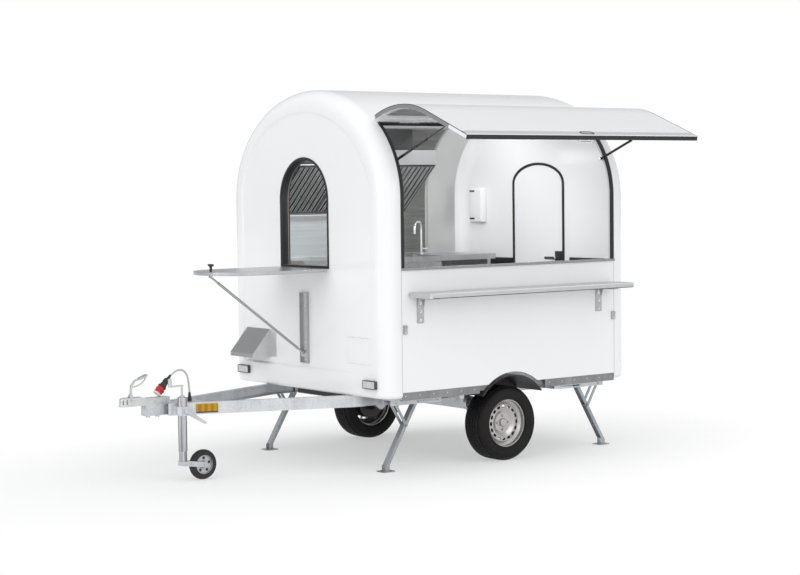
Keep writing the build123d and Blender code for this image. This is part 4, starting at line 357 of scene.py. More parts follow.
def smallWheel(place):  # black tread on a pressed rim
    rimRadius = 0.063
    tread = past(hypot(distance(place, "X", jockeyHub[0]), distance(place, "Z", jockeyHub[2])), rimRadius)
    cloud = grain(place, 20, detail=4)
    steel = tint(cloud, (0.4, 0.405, 0.41), (0.6, 0.605, 0.61))
    return {
        "Base Color": tint(tread, steel, tint(cloud, (0.007, 0.007, 0.008), (0.018, 0.018, 0.018))),
        "Roughness": spread(cloud, 0.28, 0.4) + tread * 0.25,
        "Metallic": 0.85 - tread * 0.85,
        "Normal": relief(grain(place, 260), 0.12, 0.0008),
    }


finishes = {}


def newFinish(name, draw, fixed=None):
    mat = bpy.data.materials.new(name)
    mat.use_nodes = True
    tree = mat.node_tree
    shader = tree.nodes["Principled BSDF"]
    for socket, value in (fixed or {}).items():
        shader.inputs[socket].default_value = value
    for socket, wire in draw(Wire(tree).node("ShaderNodeTexCoord", out="Object")).items():
        tree.links.new(wire.socket, shader.inputs[socket])
    finishes[name] = mat


zincTones = {
    "zincSteel": ((0.44, 0.46, 0.48), (0.62, 0.64, 0.66), (0.76, 0.78, 0.8)),
    # a darker copy of the zinc: painted shade for the steadies under the body
    "steadyZincShaded": ((0.26, 0.285, 0.305), (0.4, 0.43, 0.455), (0.58, 0.61, 0.63)),
    # a much darker copy of the zinc: painted shade for the skirt rails under the body
    "skirtZincShaded": ((0.19, 0.193, 0.196), (0.27, 0.273, 0.276), (0.38, 0.383, 0.386)),
}
for name, tones in zincTones.items():
    newFinish(name, zincCoat(*tones))
for name, way in zip(("sheetSteel", "crossSteel", "railSteel"), "xyz"):
    newFinish(name, brushed(way=way), {"Metallic": 0.95})

sheetTones = {  # low and high colour, gloss, and how metallic
    "strutTube": ((0.33, 0.34, 0.36), (0.47, 0.48, 0.5), 0.12, 0.95),
    "counterSteel": ((0.52, 0.525, 0.53), (0.68, 0.685, 0.69), 0.26, 0.9),
    "hoodSteel": ((0.44, 0.45, 0.453), (0.56, 0.57, 0.573), 0.26, 0.9),
    # the filters' steel drawn dark: painted shade
    "filterSteelShaded": ((0.16, 0.16, 0.16), (0.25, 0.25, 0.25), 0.3, 0.9),
    # pale and barely metallic: painted highlight on the filter ridges
    "filterGlintPaint": ((0.76, 0.76, 0.75), (0.88, 0.88, 0.87), 0.24, 0.2),
    "edgeAlloy": ((0.3, 0.303, 0.306), (0.4, 0.403, 0.406), 0.34, 0.9),
    "stripAlloy": ((0.66, 0.66, 0.655), (0.78, 0.78, 0.775), 0.3, 0.6),
    "trayAlloy": ((0.54, 0.543, 0.546), (0.68, 0.683, 0.686), 0.34, 0.9),
}
for name, (*look, metallic) in sheetTones.items():
    newFinish(name, brushed(*look), {"Metallic": metallic})

mouldingTones = {  # low and high colour, and gloss
    # near black for pieces that stand in for shade: painted shade
    "paintedShadeBlack": ((0.018, 0.018, 0.018), (0.032, 0.032, 0.032), 0.4),
    "bezelGrey": ((0.045, 0.045, 0.047), (0.075, 0.075, 0.077), 0.35),
    "blackMoulding": ((0.012, 0.012, 0.013), (0.028, 0.028, 0.03), 0.34),
    "guardMoulding": ((0.022, 0.018, 0.017), (0.044, 0.036, 0.034), 0.4),
    "seamGrey": ((0.2, 0.2, 0.21), (0.3, 0.3, 0.31), 0.5),
}
for name, look in mouldingTones.items():
    newFinish(name, mouldedPlastic(*look))

newFinish("bodyWhite", gelcoat, {"Coat Weight": 0.35, "Coat Roughness": 0.06, "Specular IOR Level": 0.45})
newFinish("brightTube", tubeSteel, {"Metallic": 0.95})
newFinish("darkSteel", dullSheet, {"Metallic": 0.95})
newFinish("cowlSteelPaintedLight", cowlSheetPaintedLight, {"Metallic": 0.95})
newFinish("liningSteel", liningSheet, {"Metallic": 0.85})
newFinish("sealRubber", rubber, {"Specular IOR Level": 0.4})
newFinish("sealTwoTone", sealEdge, {"Specular IOR Level": 0.4})
newFinish("revealBlack", revealRubber, {"Specular IOR Level": 0.35})
newFinish("cableSheath", clouded(30, (0.42, 0.42, 0.42), (0.58, 0.58, 0.575), (0.36, 0.5), 300, (0.1, 0.0005), 3))
newFinish("jockeyTyre", smallWheel)
newFinish("tyreRubber", tyreCompound, {"Specular IOR Level": 0.25})
newFinish("rimLacquer", silverPaint, {"Coat Weight": 0.4})
newFinish("plugShell", plugBody)
newFinish("strutEnamel", mouldedPlastic((0.008, 0.008, 0.009), (0.018, 0.018, 0.02), 0.2), {"Coat Weight": 0.3})
newFinish("lampLens", lampGlass, {"Coat Weight": 0.2, "Specular IOR Level": 0.3})
newFinish("brightPlate", polished, {"Metallic": 1})
newFinish("castZinc", clouded(18, (0.5, 0.51, 0.52), (0.7, 0.71, 0.71), (0.3, 0.46), 330, (0.1, 0.0007)),
          {"Metallic": 0.85})
newFinish("vinylSheet", vinylFloor)

steadies = [f"{end}_{side}" for end in ("front", "rear") for side in ("left", "right")]
nodeFinish = {
    "bodyWhite": "roof_shell serving_panel front_end_cap rear_end_cap serving_hatch access_door rear_door",
    "zincSteel": "chassis_frame torsion_axle steady_rails jockey_clamp jockey_fork clamp_lever",
    "steadyZincShaded": " ".join(f"steady_leg_{corner} steady_strut_{corner}" for corner in steadies),
    "skirtZincShaded": "skirt_rails",
    "sheetSteel": "counter_fittings worktop",
    "counterSteel": "serving_counter",
    "darkSteel": "sill_strip hinge_rail",
    "cowlSteelPaintedLight": "vent_cowl",
    "hoodSteel": "range_hood",
    "filterSteelShaded": "hood_filters",
    "brightTube": "jockey_tube jockey_inner_tube",
    "crossSteel": "front_flap",
    "railSteel": "flap_rail flap_strut",
    "sealTwoTone": "opening_seal",
    "sealRubber": "window_seal tyre_left tyre_right",
    "cableSheath": "supply_cable",
    "jockeyTyre": "jockey_wheel",
    "rimLacquer": "rim_left rim_right",
    "blackMoulding": "flap_knob cable_gland",
    "guardMoulding": "mudguards",
    "strutEnamel": "gas_cylinder_front gas_cylinder_rear gas_rod_front gas_rod_rear",
    "lampLens": "lamps",
    "plugShell": "supply_plug",
    "brightPlate": "hatch_handle tap door_handle strut_studs",
    "castZinc": "coupling_head coupling_handle jockey_crank",
    "vinylSheet": "floor_panel",
}
for finishName, members in nodeFinish.items():
    for member in members.split():
        mesh = nodes[member].data
        mesh.materials.clear()
        mesh.materials.append(finishes[finishName])
print("finishes made:", len(finishes))


# supply cable, from the gland on the drawbar to the plug
cableRun = {
    "points": ((-2050, 536), (-2050, 618), (-2076, 719.38), (-2162.83, 727.38), (-2216.36, 667.93)),
    "diameter": 0.013, "length": 0.338,
}
cableData = bpy.data.curves.new("supplyLead", "CURVE")
cableData.dimensions = "3D"
cableLine = cableData.splines.new("NURBS")
cableLine.points.add(len(cableRun["points"]) - 1)
for point, (x, z) in zip(cableLine.points, cableRun["points"]):
    point.co = (*at(x, 0, z), 1)
cableLine.order_u = 3
cableLine.use_endpoint_u = True
cableLine.resolution_u = 16
cableData.bevel_depth = cableRun["diameter"] / 2
cableData.bevel_resolution = 5
cableData.use_fill_caps = True
cableData.materials.append(finishes["cableSheath"])
supplyLead = show("supplyLead", cableData)
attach(supplyLead, "trailer")
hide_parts("supply_cable")
print("supply cable laid")


# how pieces are made and placed; sections, profiles and edges are in millimetres
def addPiece(name, mesh, finishName, bodyName="trailer", smooth=40):
    mesh.name = name
    mesh.materials.clear()  # a grown mesh has an empty slot
    mesh.materials.append(finishes[finishName])
    if smooth:
        mesh.shade_smooth()
        mesh.set_sharp_from_angle(angle=radians(smooth))
    piece = show(name, mesh)
    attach(piece, bodyName)
    return piece


def blackMoulded(name, mesh, bodyName="trailer"):
    return addPiece(name, mesh, "blackMoulding", bodyName)


def meshFrom(form, closing=True):  # closes a bmesh with its faces turned outwards
    if closing:
        bmesh.ops.remove_doubles(form, verts=form.verts, dist=1e-6)
        bmesh.ops.recalc_face_normals(form, faces=form.faces)
    mesh = bpy.data.meshes.new("form")
    form.to_mesh(mesh)
    form.free()
    return mesh


def lofted(rings, closed=False):  # skin over rings of points, with flat ends unless the last ring joins the first
    form = bmesh.new()
    rings = [[form.verts.new(spot) for spot in ring] for ring in rings]
    count = len(rings[0])
    for here, there in zip(rings, rings[1:] + rings[:1] if closed else rings[1:]):
        for step in range(count):
            after = (step + 1) % count
            form.faces.new((here[step], here[after], there[after], there[step]))
    if not closed:
        form.faces.new(rings[0])
        form.faces.new(rings[-1])
    return meshFrom(form)


def sweptStrip(path, outs, alongs, section, closed=False):  # a section of (out, along) carried down a path
    return lofted([[spot + out * (u / 1000) + along * (v / 1000) for u, v in section]
                   for spot, out, along in zip(path, outs, alongs)], closed)


def turned(profile, centre, axis, count=28):  # a profile of (radius, height) spun about an axis
    form = bmesh.new()
    axis = axis.normalized()
    first = axis.orthogonal().normalized()
    second = axis.cross(first)
    rings = []
    for turn in steps(0, 2 * pi * (1 - 1 / count), count):
        ray = first * cos(turn) + second * sin(turn)
        rings.append([form.verts.new(centre + ray * (radius / 1000) + axis * (height / 1000))
                      for radius, height in profile])
    for here, there in zip(rings, rings[1:] + rings[:1]):
        for low in range(len(profile) - 1):
            form.faces.new((here[low], there[low], there[low + 1], here[low + 1]))
    return meshFrom(form)


def block(corners, edge, segments=2):  # a box between two corners with its edges rounded
    low, high = corners
    form = bmesh.new()
    bmesh.ops.create_cube(form, size=1)
    for vert in form.verts:
        vert.co = vert.co * (high - low) + (high + low) / 2
    bmesh.ops.bevel(form, geom=list(form.edges), offset=edge / 1000, segments=segments, affect="EDGES", profile=0.5)
    return meshFrom(form)


def joined(*meshes):
    form = bmesh.new()
    for mesh in meshes:
        form.from_mesh(mesh)
        bpy.data.meshes.remove(mesh)
    return meshFrom(form, closing=False)


def headings(path):  # the way along a path at each of its points
    last = len(path) - 1
    return [(path[min(index + 1, last)] - path[max(index - 1, 0)]).normalized() for index in range(last + 1)]


def archway(half, rise, shoulder, legs, angles):  # (y, z) up a leg, over an arch and down again, with the ways out
    points, outs = [(-half, z) for z in legs], [-inwards] * len(legs)
    for turn in map(radians, angles):
        points.append((half * cos(turn), shoulder + rise * sin(turn)))
        outs.append(Vector((0, cos(turn) / half, sin(turn) / rise)).normalized())
    return points + [(half, z) for z in reversed(legs)], outs + [inwards] * len(legs)


def roundedFrame(first, second, corner):  # round a rectangle: two places and the two parts of the way out
    for quarter, (i, j) in enumerate(((1, 1), (0, 1), (0, 0), (1, 0))):
        for turn in map(radians, steps(quarter * 90, quarter * 90 + 90, 6)):
            u, v = cos(turn), sin(turn)
            yield first[i] + corner * (1 - 2 * i + u), second[j] + corner * (1 - 2 * j + v), u, v


@cache
def surface(nodeName):
    mesh = nodes[nodeName].data
    return BVHTree.FromPolygons([vert.co for vert in mesh.vertices], [tuple(face.vertices) for face in mesh.polygons])


def landOn(nodeName, spot, way):  # where a line from spot meets a piece, and the way out of it there
    hit, normal = surface(nodeName).ray_cast(spot, way)[:2]
    if hit is None:
        print("nothing to land on:", nodeName, spot)
        return None
    return hit, -way if normal.dot(way) > -0.2 else normal


# Geometry Nodes for what repeats
def growTree(name, shapeOf, sizes, turnOf=None, angles=()):  # sets one shape on every point
    tree = bpy.data.node_groups.new(name, "GeometryNodeTree")
    tree.interface.new_socket("Geometry", in_out="INPUT", socket_type="NodeSocketGeometry")
    for label in (*sizes, *angles):
        tree.interface.new_socket(label, in_out="INPUT", socket_type="NodeSocketFloat")
    tree.interface.new_socket("Geometry", in_out="OUTPUT", socket_type="NodeSocketGeometry")
    start = Wire(tree)
    entry = {socket.name: Wire(tree, socket) for socket in tree.nodes.new("NodeGroupInput").outputs}
    setting = {"Points": entry["Geometry"], "Instance": shapeOf(start, *(entry[label] for label in sizes))}
    if turnOf:
        setting["Rotation"] = turnOf(start, *(entry[label] for label in angles))
    many = start.node("GeometryNodeInstanceOnPoints", sockets=setting)
    start.node("NodeGroupOutput", sockets={0: start.node("GeometryNodeRealizeInstances", sockets={0: many})})
    return tree


def grown(points, tree, settings, vectors=None):  # runs a tree on points and keeps the result as a plain mesh
    mesh = bpy.data.meshes.new("seed")
    mesh.from_pydata([tuple(point) for point in points], [], [])
    for label, values in (vectors or {}).items():
        layer = mesh.attributes.new(label, "FLOAT_VECTOR", "POINT")
        layer.data.foreach_set("vector", [value for vector in values for value in vector])
    seed = show("seed", mesh)
    modifier = seed.modifiers.new("grow", "NODES")
    modifier.node_group = tree
    for item in tree.interface.items_tree:
        if item.in_out == "INPUT" and item.name in settings:
            modifier[item.identifier] = settings[item.name]
    depsgraph = bpy.context.evaluated_depsgraph_get()
    result = bpy.data.meshes.new_from_object(seed.evaluated_get(depsgraph))
    seed.modifiers.clear()
    bpy.data.objects.remove(seed)
    bpy.data.meshes.remove(mesh)
    return result


def cube(start, *size):
    return start.node("GeometryNodeMeshCube", sockets={"Size": start.vector(*size)})


def moved(start, shape, **change):
    return start.node("GeometryNodeTransform", sockets={"Geometry": shape, **change})


def turnBy(start, *angles):
    return start.node("FunctionNodeEulerToRotation", sockets={0: start.vector(*angles)})


def dome(start, radius, height, lift=0):
    ball = start.node("GeometryNodeMeshUVSphere", sockets={"Segments": 14, "Rings": 8, "Radius": 1})
    return moved(start, ball, Scale=start.vector(radius, radius, height), Translation=start.vector(z=lift))


def boltHead(start, radius, height):  # hexagon on a washer, with a crowned top
    nut = start.node("GeometryNodeMeshCylinder", sockets={"Vertices": 6, "Radius": radius, "Depth": height})
    washer = start.node("GeometryNodeMeshCylinder", sockets={
        "Vertices": 24, "Radius": radius * 1.55, "Depth": height * 0.5})
    gather = start.tree.nodes.new("GeometryNodeJoinGeometry")
    for part in (moved(start, nut, Translation=start.vector(z=height * 0.75)), washer,
                 dome(start, radius * 0.62, height * 0.5, height * 1.2)):
        start.tree.links.new(part.socket, gather.inputs[0])
    return Wire(start.tree, gather.outputs[0])


def faced(start):  # turned to the way kept with each point
    facing = start.node("GeometryNodeInputNamedAttribute", {"data_type": "FLOAT_VECTOR"}, {"Name": "facing"})
    return start.node("FunctionNodeAlignRotationToVector", {"axis": "Z"}, {"Vector": facing})


def blockRing(start, radius, count, skew, *size):  # one row of tread, upright
    ring = start.node("GeometryNodeMeshCircle", sockets={"Vertices": count, "Radius": radius})
    turn = start.node("GeometryNodeInputIndex") * (2 * pi) / count
    row = start.node("GeometryNodeInstanceOnPoints", sockets={
        "Points": ring, "Instance": cube(start, *size), "Rotation": turnBy(start, skew, 0, turn)})
    return moved(start, row, Rotation=(pi / 2, 0, 0))


rivets = growTree("domeHeads", dome, ("Head radius", "Head height"), faced)
bolts = growTree("hexHeads", boltHead, ("Head radius", "Head height"), faced)
slats = growTree("slatRow", cube, ("Slat width", "Slat length", "Slat height"), turnBy, ("Lean",))
treads = growTree("treadRow", blockRing, (
    "Ring radius", "Blocks", "Skew", "Block height", "Block length", "Block width"))


# linings, trims and boxes inside the cabin
def archPoint(grow, angle):  # angle from the far side over the roof, in degrees
    turn = radians(angle)
    return Vector(((halfWidth + grow) * cos(turn), springHeight + (archRise + grow) * sin(turn)))


inner = -30  # inner face of the wall
liningLine = [Vector((halfWidth + inner, lining["foot"]))]
liningLine += [archPoint(inner, angle) for angle in steps(0, lining["lastAngle"], 29)]
rings = []
for spot, run in zip(liningLine, headings(liningLine)):
    low, high = lining["x"]
    inside = spot + Vector((-run.y, run.x)) * lining["sheet"]
    rings.append([at(low, *spot), at(high, *spot), at(high, *inside), at(low, *inside)])
addPiece("wallLining", lofted(rings), "liningSteel")

coverStrip = {"points": 12, "section": ((-14, 1), (-12, 2.6), (12, 2.6), (14, 1))}  # over the joints of the sheets
springMiddle = Vector((0, springHeight))
strips = []
for x in lining["joints"]:
    rings = []
    for spot in liningLine[:coverStrip["points"]]:
        into = (springMiddle - spot).normalized() if spot.y > springHeight else Vector((-1, 0))
        rings.append([at(x + side, *(spot + into * deep)) for side, deep in coverStrip["section"]])
    strips.append(lofted(rings))
addPiece("liningStrips", joined(*strips), "railSteel")

# the duct above the hood and its flange are drawn near black as painted shade
duct = {"x": (-80, 228), "side": ((470, 2201), (705, 2201), (705, 2308), (470, 2470))}
flange = {"x": (-94, 242), "y": (456, 719), "z": (2200.5, 2204)}
ductMesh = lofted([[at(x, *spot) for spot in duct["side"]] for x in duct["x"]])
addPiece("hoodDuct", joined(ductMesh, block(span(**flange), 1)), "paintedShadeBlack")

# bright strips along the slots of the hood's filters, painted highlights on their ridges, and below them a pale strip
# as painted highlight and a dark strip as painted shade
filters = {"middle": -205, "pitch": 428, "high": (453, 2090), "low": (862.7, 1725), "slotPitch": 44.41,
           "edge": 13.4, "wide": 3.4, "long": 494, "proud": 1.4, "lift": 0.0004}
slope = Vector((0, filters["low"][0] - filters["high"][0], filters["low"][1] - filters["high"][1])).normalized()
facing = Vector((0, slope.z, -slope.y))
filterMiddle = [(high + low) / 2 for high, low in zip(filters["high"], filters["low"])]
edgeSpots = []
for number, slot, side in product((-1, 0, 1), range(-4, 5), (-1, 1)):
    x = filters["middle"] + number * filters["pitch"] + slot * filters["slotPitch"] + side * filters["edge"]
    edgeSpots.append(at(x, *filterMiddle) + facing * filters["lift"])
edgeMesh = grown(edgeSpots, slats, {
    "Slat width": filters["wide"] / 1000, "Slat length": filters["long"] / 1000,
    "Slat height": filters["proud"] / 1000, "Lean": atan2(slope.z, slope.y)})
addPiece("filterEdgeGlints", edgeMesh, "filterGlintPaint", smooth=0)
hoodFoot = {"x": (-846, 436), "lip": ((856.4, 859.8), (1713.4, 1721)), "shadeBand": ((857.6, 859.8), (1692, 1713))}
# at the hood's foot, a pale strip as painted highlight and a dark strip as painted shade
for name, part, finishName in (("hoodLipHighlight", "lip", "stripAlloy"), ("hoodShadeStrip", "shadeBand", "darkSteel")):
    addPiece(name, block(span(hoodFoot["x"], *hoodFoot[part]), 0.6, 1), finishName)

gasket = {"half": 285, "foot": 571, "top": 2086, "rise": 150, "face": 1080,
          "section": ((-9, 0), (-9, -6), (-5, -11), (6, -11), (11, -6), (11, 0))}
shoulder = gasket["top"] - gasket["rise"]
doorLegs = steps(gasket["foot"], shoulder, 3)
doorLine, doorOut = archway(gasket["half"], gasket["rise"], shoulder, doorLegs, steps(172, 8, 29))
doorPath = [at(gasket["face"], *spot) for spot in doorLine]
gasketMesh = sweptStrip(doorPath, doorOut, [backwards] * len(doorPath), gasket["section"])
addPiece("doorGasket", gasketMesh, "sealRubber")

fuseCase = {"x": (1030, 1079.5), "y": (614, 772), "z": (1636, 1907)}
fuseLid = {"x": (1022, 1034), "y": (622, 764), "z": (1644, 1899)}
fuseVents = {"x": (1020.8, 1023), "y": (698, 758), "z": ((1657, 1671), (1875, 1889))}
addPiece("fuseBox", joined(block(span(**fuseCase), 9, 3), block(span(**fuseLid), 4, 3)), "bodyWhite")
blackMoulded("fuseBoxVents", joined(*(block(span(fuseVents["x"], fuseVents["y"], z), 0.6, 1) for z in fuseVents["z"])))

buffers = {"x": (1060, 1079.5), "runs": (((300, 815), (1306, 1360)), ((-740, -366), (1330, 1378)))}
bufferMeshes = [block(span(buffers["x"], *run), 5) for run in buffers["runs"]]
addPiece("wallBuffers", joined(*bufferMeshes), "sealRubber")

lock = {"x": (1066, 1079.6), "y": (-272, -198), "z": (1318, 1422)}
blackMoulded("lockCase", block(span(**lock), 4, 3), "rear_door")
print("cabin lined")


# rubber and metal along the edges of the hatch
hatch = {"pivot": (-716.02, 2371.78), "angle": 68, "halfBar": 1031}


def onHatch(x, y, z):  # a point given with the hatch closed, moved to where it is held open
    pivotY, pivotZ = hatch["pivot"]
    turn = radians(-hatch["angle"])
    dy, dz = y - pivotY, z - pivotZ
    return at(x, pivotY + dy * cos(turn) - dz * sin(turn), pivotZ + dy * sin(turn) + dz * cos(turn))


def hatchBar(section):  # a section of (grow, z) run along the hatch
    return lofted([[onHatch(x, -halfWidth - grow, z) for grow, z in section]
                   for x in (-hatch["halfBar"], hatch["halfBar"])])


def hatchEnd(side, section, angles, heights):  # a section of (x, grow) carried down the curve of the hatch
    rings = [[onHatch(side * x, *archPoint(grow, angle)) for x, grow in section] for angle in angles]
    rings += [[onHatch(side * x, -halfWidth - grow, z) for x, grow in section] for z in heights]
    return lofted(rings)


lipSection = ((6, 1408), (6, 1394), (9, 1391.8), (16, 1391.9), (24, 1395), (34, 1398.6), (34, 1400.3), (8.2, 1400.3),
              (8.2, 1408))
stripSection = ((38.6, 1462), (38.6, 1408), (36.4, 1402.2), (33, 1400.2), (32.6, 1400.9), (35.8, 1403), (37.8, 1408.2),
                (37.8, 1462))
plateSection = ((1032.6, 9), (1034.2, 9), (1034.2, 34.5), (1032.6, 34.5))
beadSection = ((1032.6, 33.8), (1034.8, 33.8), (1036, 35), (1036, 36.6), (1034.8, 37.8), (1032.6, 37.8))
traySection = ((-990, 11.2), (990, 11.2), (990, 11.95), (-990, 11.95))
curve = steps(141, 180, 22)  # from the hinge to the straight part
beads = [hatchEnd(side, beadSection, curve, (1700, 1550, 1401)) for side in (-1, 1)]
plates = [hatchEnd(side, plateSection, curve, (1750, 1590)) for side in (-1, 1)]
addPiece("hatchRubber", joined(hatchBar(lipSection), *beads), "sealRubber", "hatch")
addPiece("hatchStrip", hatchBar(stripSection), "stripAlloy", "hatch")
addPiece("hatchEdgeTrim", joined(*plates), "edgeAlloy", "hatch")
tray = hatchEnd(1, traySection, steps(145, 180, 20), (1700, 1550, 1444))
addPiece("hatchLining", tray, "trayAlloy", "hatch")

# pull frame on the outer face, above the free edge
pull = {"x": (-35, 76), "z": (1418, 1455), "corner": 12, "proud": 38.5,
        "section": ((-3, 0), (-3, 2.5), (-1.8, 4), (1.8, 4), (3, 2.5), (3, 0))}
origin = onHatch(0, 0, 0)
pullPath, pullOut = [], []
for x, z, u, v in roundedFrame(pull["x"], pull["z"], pull["corner"]):
    pullPath.append(onHatch(x, -halfWidth - pull["proud"], z))
    pullOut.append((onHatch(u, 0, v) - origin).normalized())
pullFace = (onHatch(0, -1, 0) - origin).normalized()
pullMesh = sweptStrip(pullPath, pullOut, [pullFace] * len(pullPath), pull["section"], True)
addPiece("hatchPull", pullMesh, "bezelGrey", "hatch")
print("hatch edged")


# tyres with ribs, blocks and beads
tyre = {"radius": 263.0, "blocks": 66.0, "blockWide": 20.5, "blockHigh": 8.0, "blockGap": 3.2}
treadRows = (  # y, drop at the shoulders, extra width, skew
    (-52, 1.6, 4, 0.16), (-26, 0.35, 0, 0.16), (0, 0.35, 0, 0.0), (26, 0.35, 0, -0.16), (52, 1.6, 4, -0.16))
tyreSide = [(168, 70), (166, 80), (170, 87), (178, 90), (186, 94.5), (188, 95.6), (190, 94.8), (204, 97.2), (212, 97.9),
            (220, 97.4), (226, 96.6), (227, 97.4), (230, 97.4), (231, 95.8), (238, 92.6), (239, 93.4), (242, 92.4),
            (243, 90.4), (249, 84), (254, 74), (255.5, 64)]
tyreLoop = tyreSide + [(radius, -wide) for radius, wide in reversed(tyreSide)] + tyreSide[:1]
blockLong = 2 * pi * tyre["radius"] / tyre["blocks"] - tyre["blockGap"]
for sideName, side in (("left", -1), ("right", 1)):
    hub = at(axle["x"], side * axle["track"], axle["z"])
    parts = [turned(tyreLoop, hub, inwards, 128)]
    for place, drop, extra, skew in treadRows:
        reach = tyre["radius"] - drop - tyre["blockHigh"] / 2
        parts.append(grown([hub + inwards * (place / 1000)], treads, {
            "Ring radius": reach / 1000, "Block width": (tyre["blockWide"] + extra) / 1000,
            "Block height": tyre["blockHigh"] / 1000, "Block length": blockLong / 1000,
            "Skew": skew, "Blocks": tyre["blocks"]}))
    piece = addPiece(f"roadTyre_{sideName}", joined(*parts), "tyreRubber", f"wheel_{sideName}", 30)
    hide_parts(f"tyre_{sideName}")
print("tyres fitted")


# window liner: two halves, and a shallow bridge behind the crown where the turned knob comes to lie
window = {"half": 280, "foot": 1385, "top": 2122, "face": -1079.8, "bridge": 34,
          "section": ((0, 0), (0, 48), (3, 52), (11, 52), (14, 47), (14, 6), (22, 4), (22, 0))}
springLine = window["top"] - window["half"]
windowLine, windowOut = archway(window["half"], window["half"], springLine, steps(window["foot"], springLine, 4)[:-1],
                                steps(180, 0, 37))
crown = len(windowLine) // 2
bridgeSection = [(out, max(deep, window["bridge"])) for out, deep in window["section"][:6]]


def linerRun(first, last, section):
    path = [at(window["face"], *spot) for spot in windowLine[first:last]]
    return sweptStrip(path, windowOut[first:last], [backwards] * len(path), section)


halves = [linerRun(first, last, window["section"]) for first, last in ((0, crown - 1), (crown + 2, len(windowLine)))]
addPiece("windowLiner", joined(*halves, linerRun(crown - 2, crown + 3, bridgeSection)), "revealBlack")

switchBox = {"x": (-846, -690), "y": (434, 449.8), "z": (2096, 2194)}
rocker = {"x": (-810, -768, -726), "half": 14, "y": (430.5, 434.5), "z": (2130, 2160)}
rockers = [block(span(around(x, rocker["half"]), rocker["y"], rocker["z"]), 1.5) for x in rocker["x"]]
blackMoulded("hoodSwitch", joined(block(span(**switchBox), 4, 3), *rockers))

seam = {"x": (-970, 970), "half": 1.2, "y": (-940.5, -939), "z": (557, 1369)}
seams = [block(span(around(x, seam["half"]), seam["y"], seam["z"]), 0.3, 1) for x in seam["x"]]
addPiece("panelSeams", joined(*seams), "seamGrey")

# plate in the end of the coupling tube, and a black strip below the front cap as painted shade
tubeEnd = {"x": (-2399.6, -2396), "y": (-30.8, 30.8), "z": (443.2, 504.8)}
addPiece("tubeEnd", block(span(**tubeEnd), 1.5), "zincSteel")
underCapShade = {"x": (-1100, -1095), "y": (-466, 110), "z": (484, 515.4)}
addPiece("underCapShade", block(span(**underCapShade), 1.5), "sealRubber")

# bright and dark lines along the front edge of the counter: a painted highlight on its top edge and a painted shadow
# under it
counter = {"x": (-898, 928), "before": (0, -1600, 1205), "proud": 0.6, "sunk": 1}
counterFace = (landOn("serving_counter", at(*counter["before"]), inwards)[0].y - midY) * 1000
counterEdge = (counterFace - counter["proud"], counterFace + counter["sunk"])
for name, heights, finishName in (("counterHighlight", (1216, 1222.2), "brightPlate"),
                                  ("counterShadow", (1187.8, 1192.4), "paintedShadeBlack")):
    addPiece(name, block(span(counter["x"], counterEdge, heights), 0.3, 1), finishName, "counter")

bezelSection = ((0.6, -21), (0.6, 0.6), (-0.8, 1.6), (-3.4, 1.6), (-4.4, 0.4), (-4.4, -4), (-2, -4), (-2, -21))
lampKinds = (  # x, y, z, half width, half height, corner
    (-1132, 775, 608, 70, 27.5, 7.5), (1132, 700, 606, 110, 50, 9))
bezels = []
for (x, lampY, lampZ, halfWide, halfHigh, corner), side in product(lampKinds, (-1, 1)):
    ring = list(roundedFrame(around(side * lampY, halfWide), around(lampZ, halfHigh), corner))
    facing = copysign(1, x) * backwards
    bezels.append(sweptStrip([at(x, y, z) for y, z, u, v in ring], [Vector((0, u, v)) for y, z, u, v in ring],
                             [facing] * len(ring), bezelSection, True))
addPiece("lampBezels", joined(*bezels), "bezelGrey")
print("frames fitted")


# plug collar, cap nut and the boots at both ends of the cable
plugWay = Vector(plug["way"])
plugTip = at(*plug["tip"])
collar = [(23, 54), (28.6, 55), (29.4, 56.5), (29.4, 59.5), (28.4, 61), (27.6, 62.5), (28.2, 64), (28.2, 67),
          (26.6, 68.5), (22, 69), (23, 54)]
capNut = [(10, 96), (20.5, 96), (21.4, 97.2), (21.4, 101), (20.2, 102.4), (20.2, 103.8), (21.4, 105), (21.4, 109),
          (20.2, 110.4), (20.2, 111.8), (21.4, 113), (20.6, 118), (17, 123), (10, 124.6), (10, 96)]
boot = [(7, 0), (11.5, 0), (11.5, 4), (10.4, 5), (11, 6.5), (11, 10), (9.8, 11), (10.2, 12.5), (10.2, 16), (9.2, 17),
        (9.5, 18.5), (9.5, 22), (8.6, 23), (8.4, 28), (7.4, 34), (6.7, 35), (6.7, 0)]
bootSunk = 0.0005
fittings = [turned(profile, plugTip, plugWay, 40) for profile in (collar, capNut)]
plugFittings = blackMoulded("plugFittings", joined(*fittings))
plugBoot = blackMoulded("plugBoot", turned(boot, plugTip + plugWay * plug["length"] / 1000, plugWay))
blackMoulded("glandBoot", turned(boot, at(*gland) - upwards * bootSunk, upwards))
at(*gland)

# turn knob's grip, sleeve of the flap's strut, and the loop of the coupling handle
grip = {"x": (-1877.5, -1854.5), "y": (-26, 26), "z": (1405.6, 1421)}
stem = {"x": -1866, "profile": (
    (5.2, 1375.5), (10.5, 1375.5), (9.4, 1381), (8.6, 1392), (9.6, 1401), (11.5, 1405.8), (5.2, 1405.8), (5.2, 1375.5))}
stemMesh = turned(stem["profile"], at(stem["x"], 0, 0), upwards)
blackMoulded("knobGrip", joined(stemMesh, block(span(**grip), 6, 3)), "flap_knob")

sleeve = {"top": (-1870, 0, 1334), "foot": (-1111.3, 0, 766), "profile": (
    (6.8, 70), (8.8, 70), (9.5, 73), (9.5, 868), (8.8, 871), (6.8, 871), (6.8, 70))}
sleeveTop, sleeveFoot = at(*sleeve["top"]), at(*sleeve["foot"])
sleeveMesh = turned(sleeve["profile"], sleeveTop, sleeveFoot - sleeveTop)
addPiece("strutSleeve", sleeveMesh, "strutTube", "flap_strut")

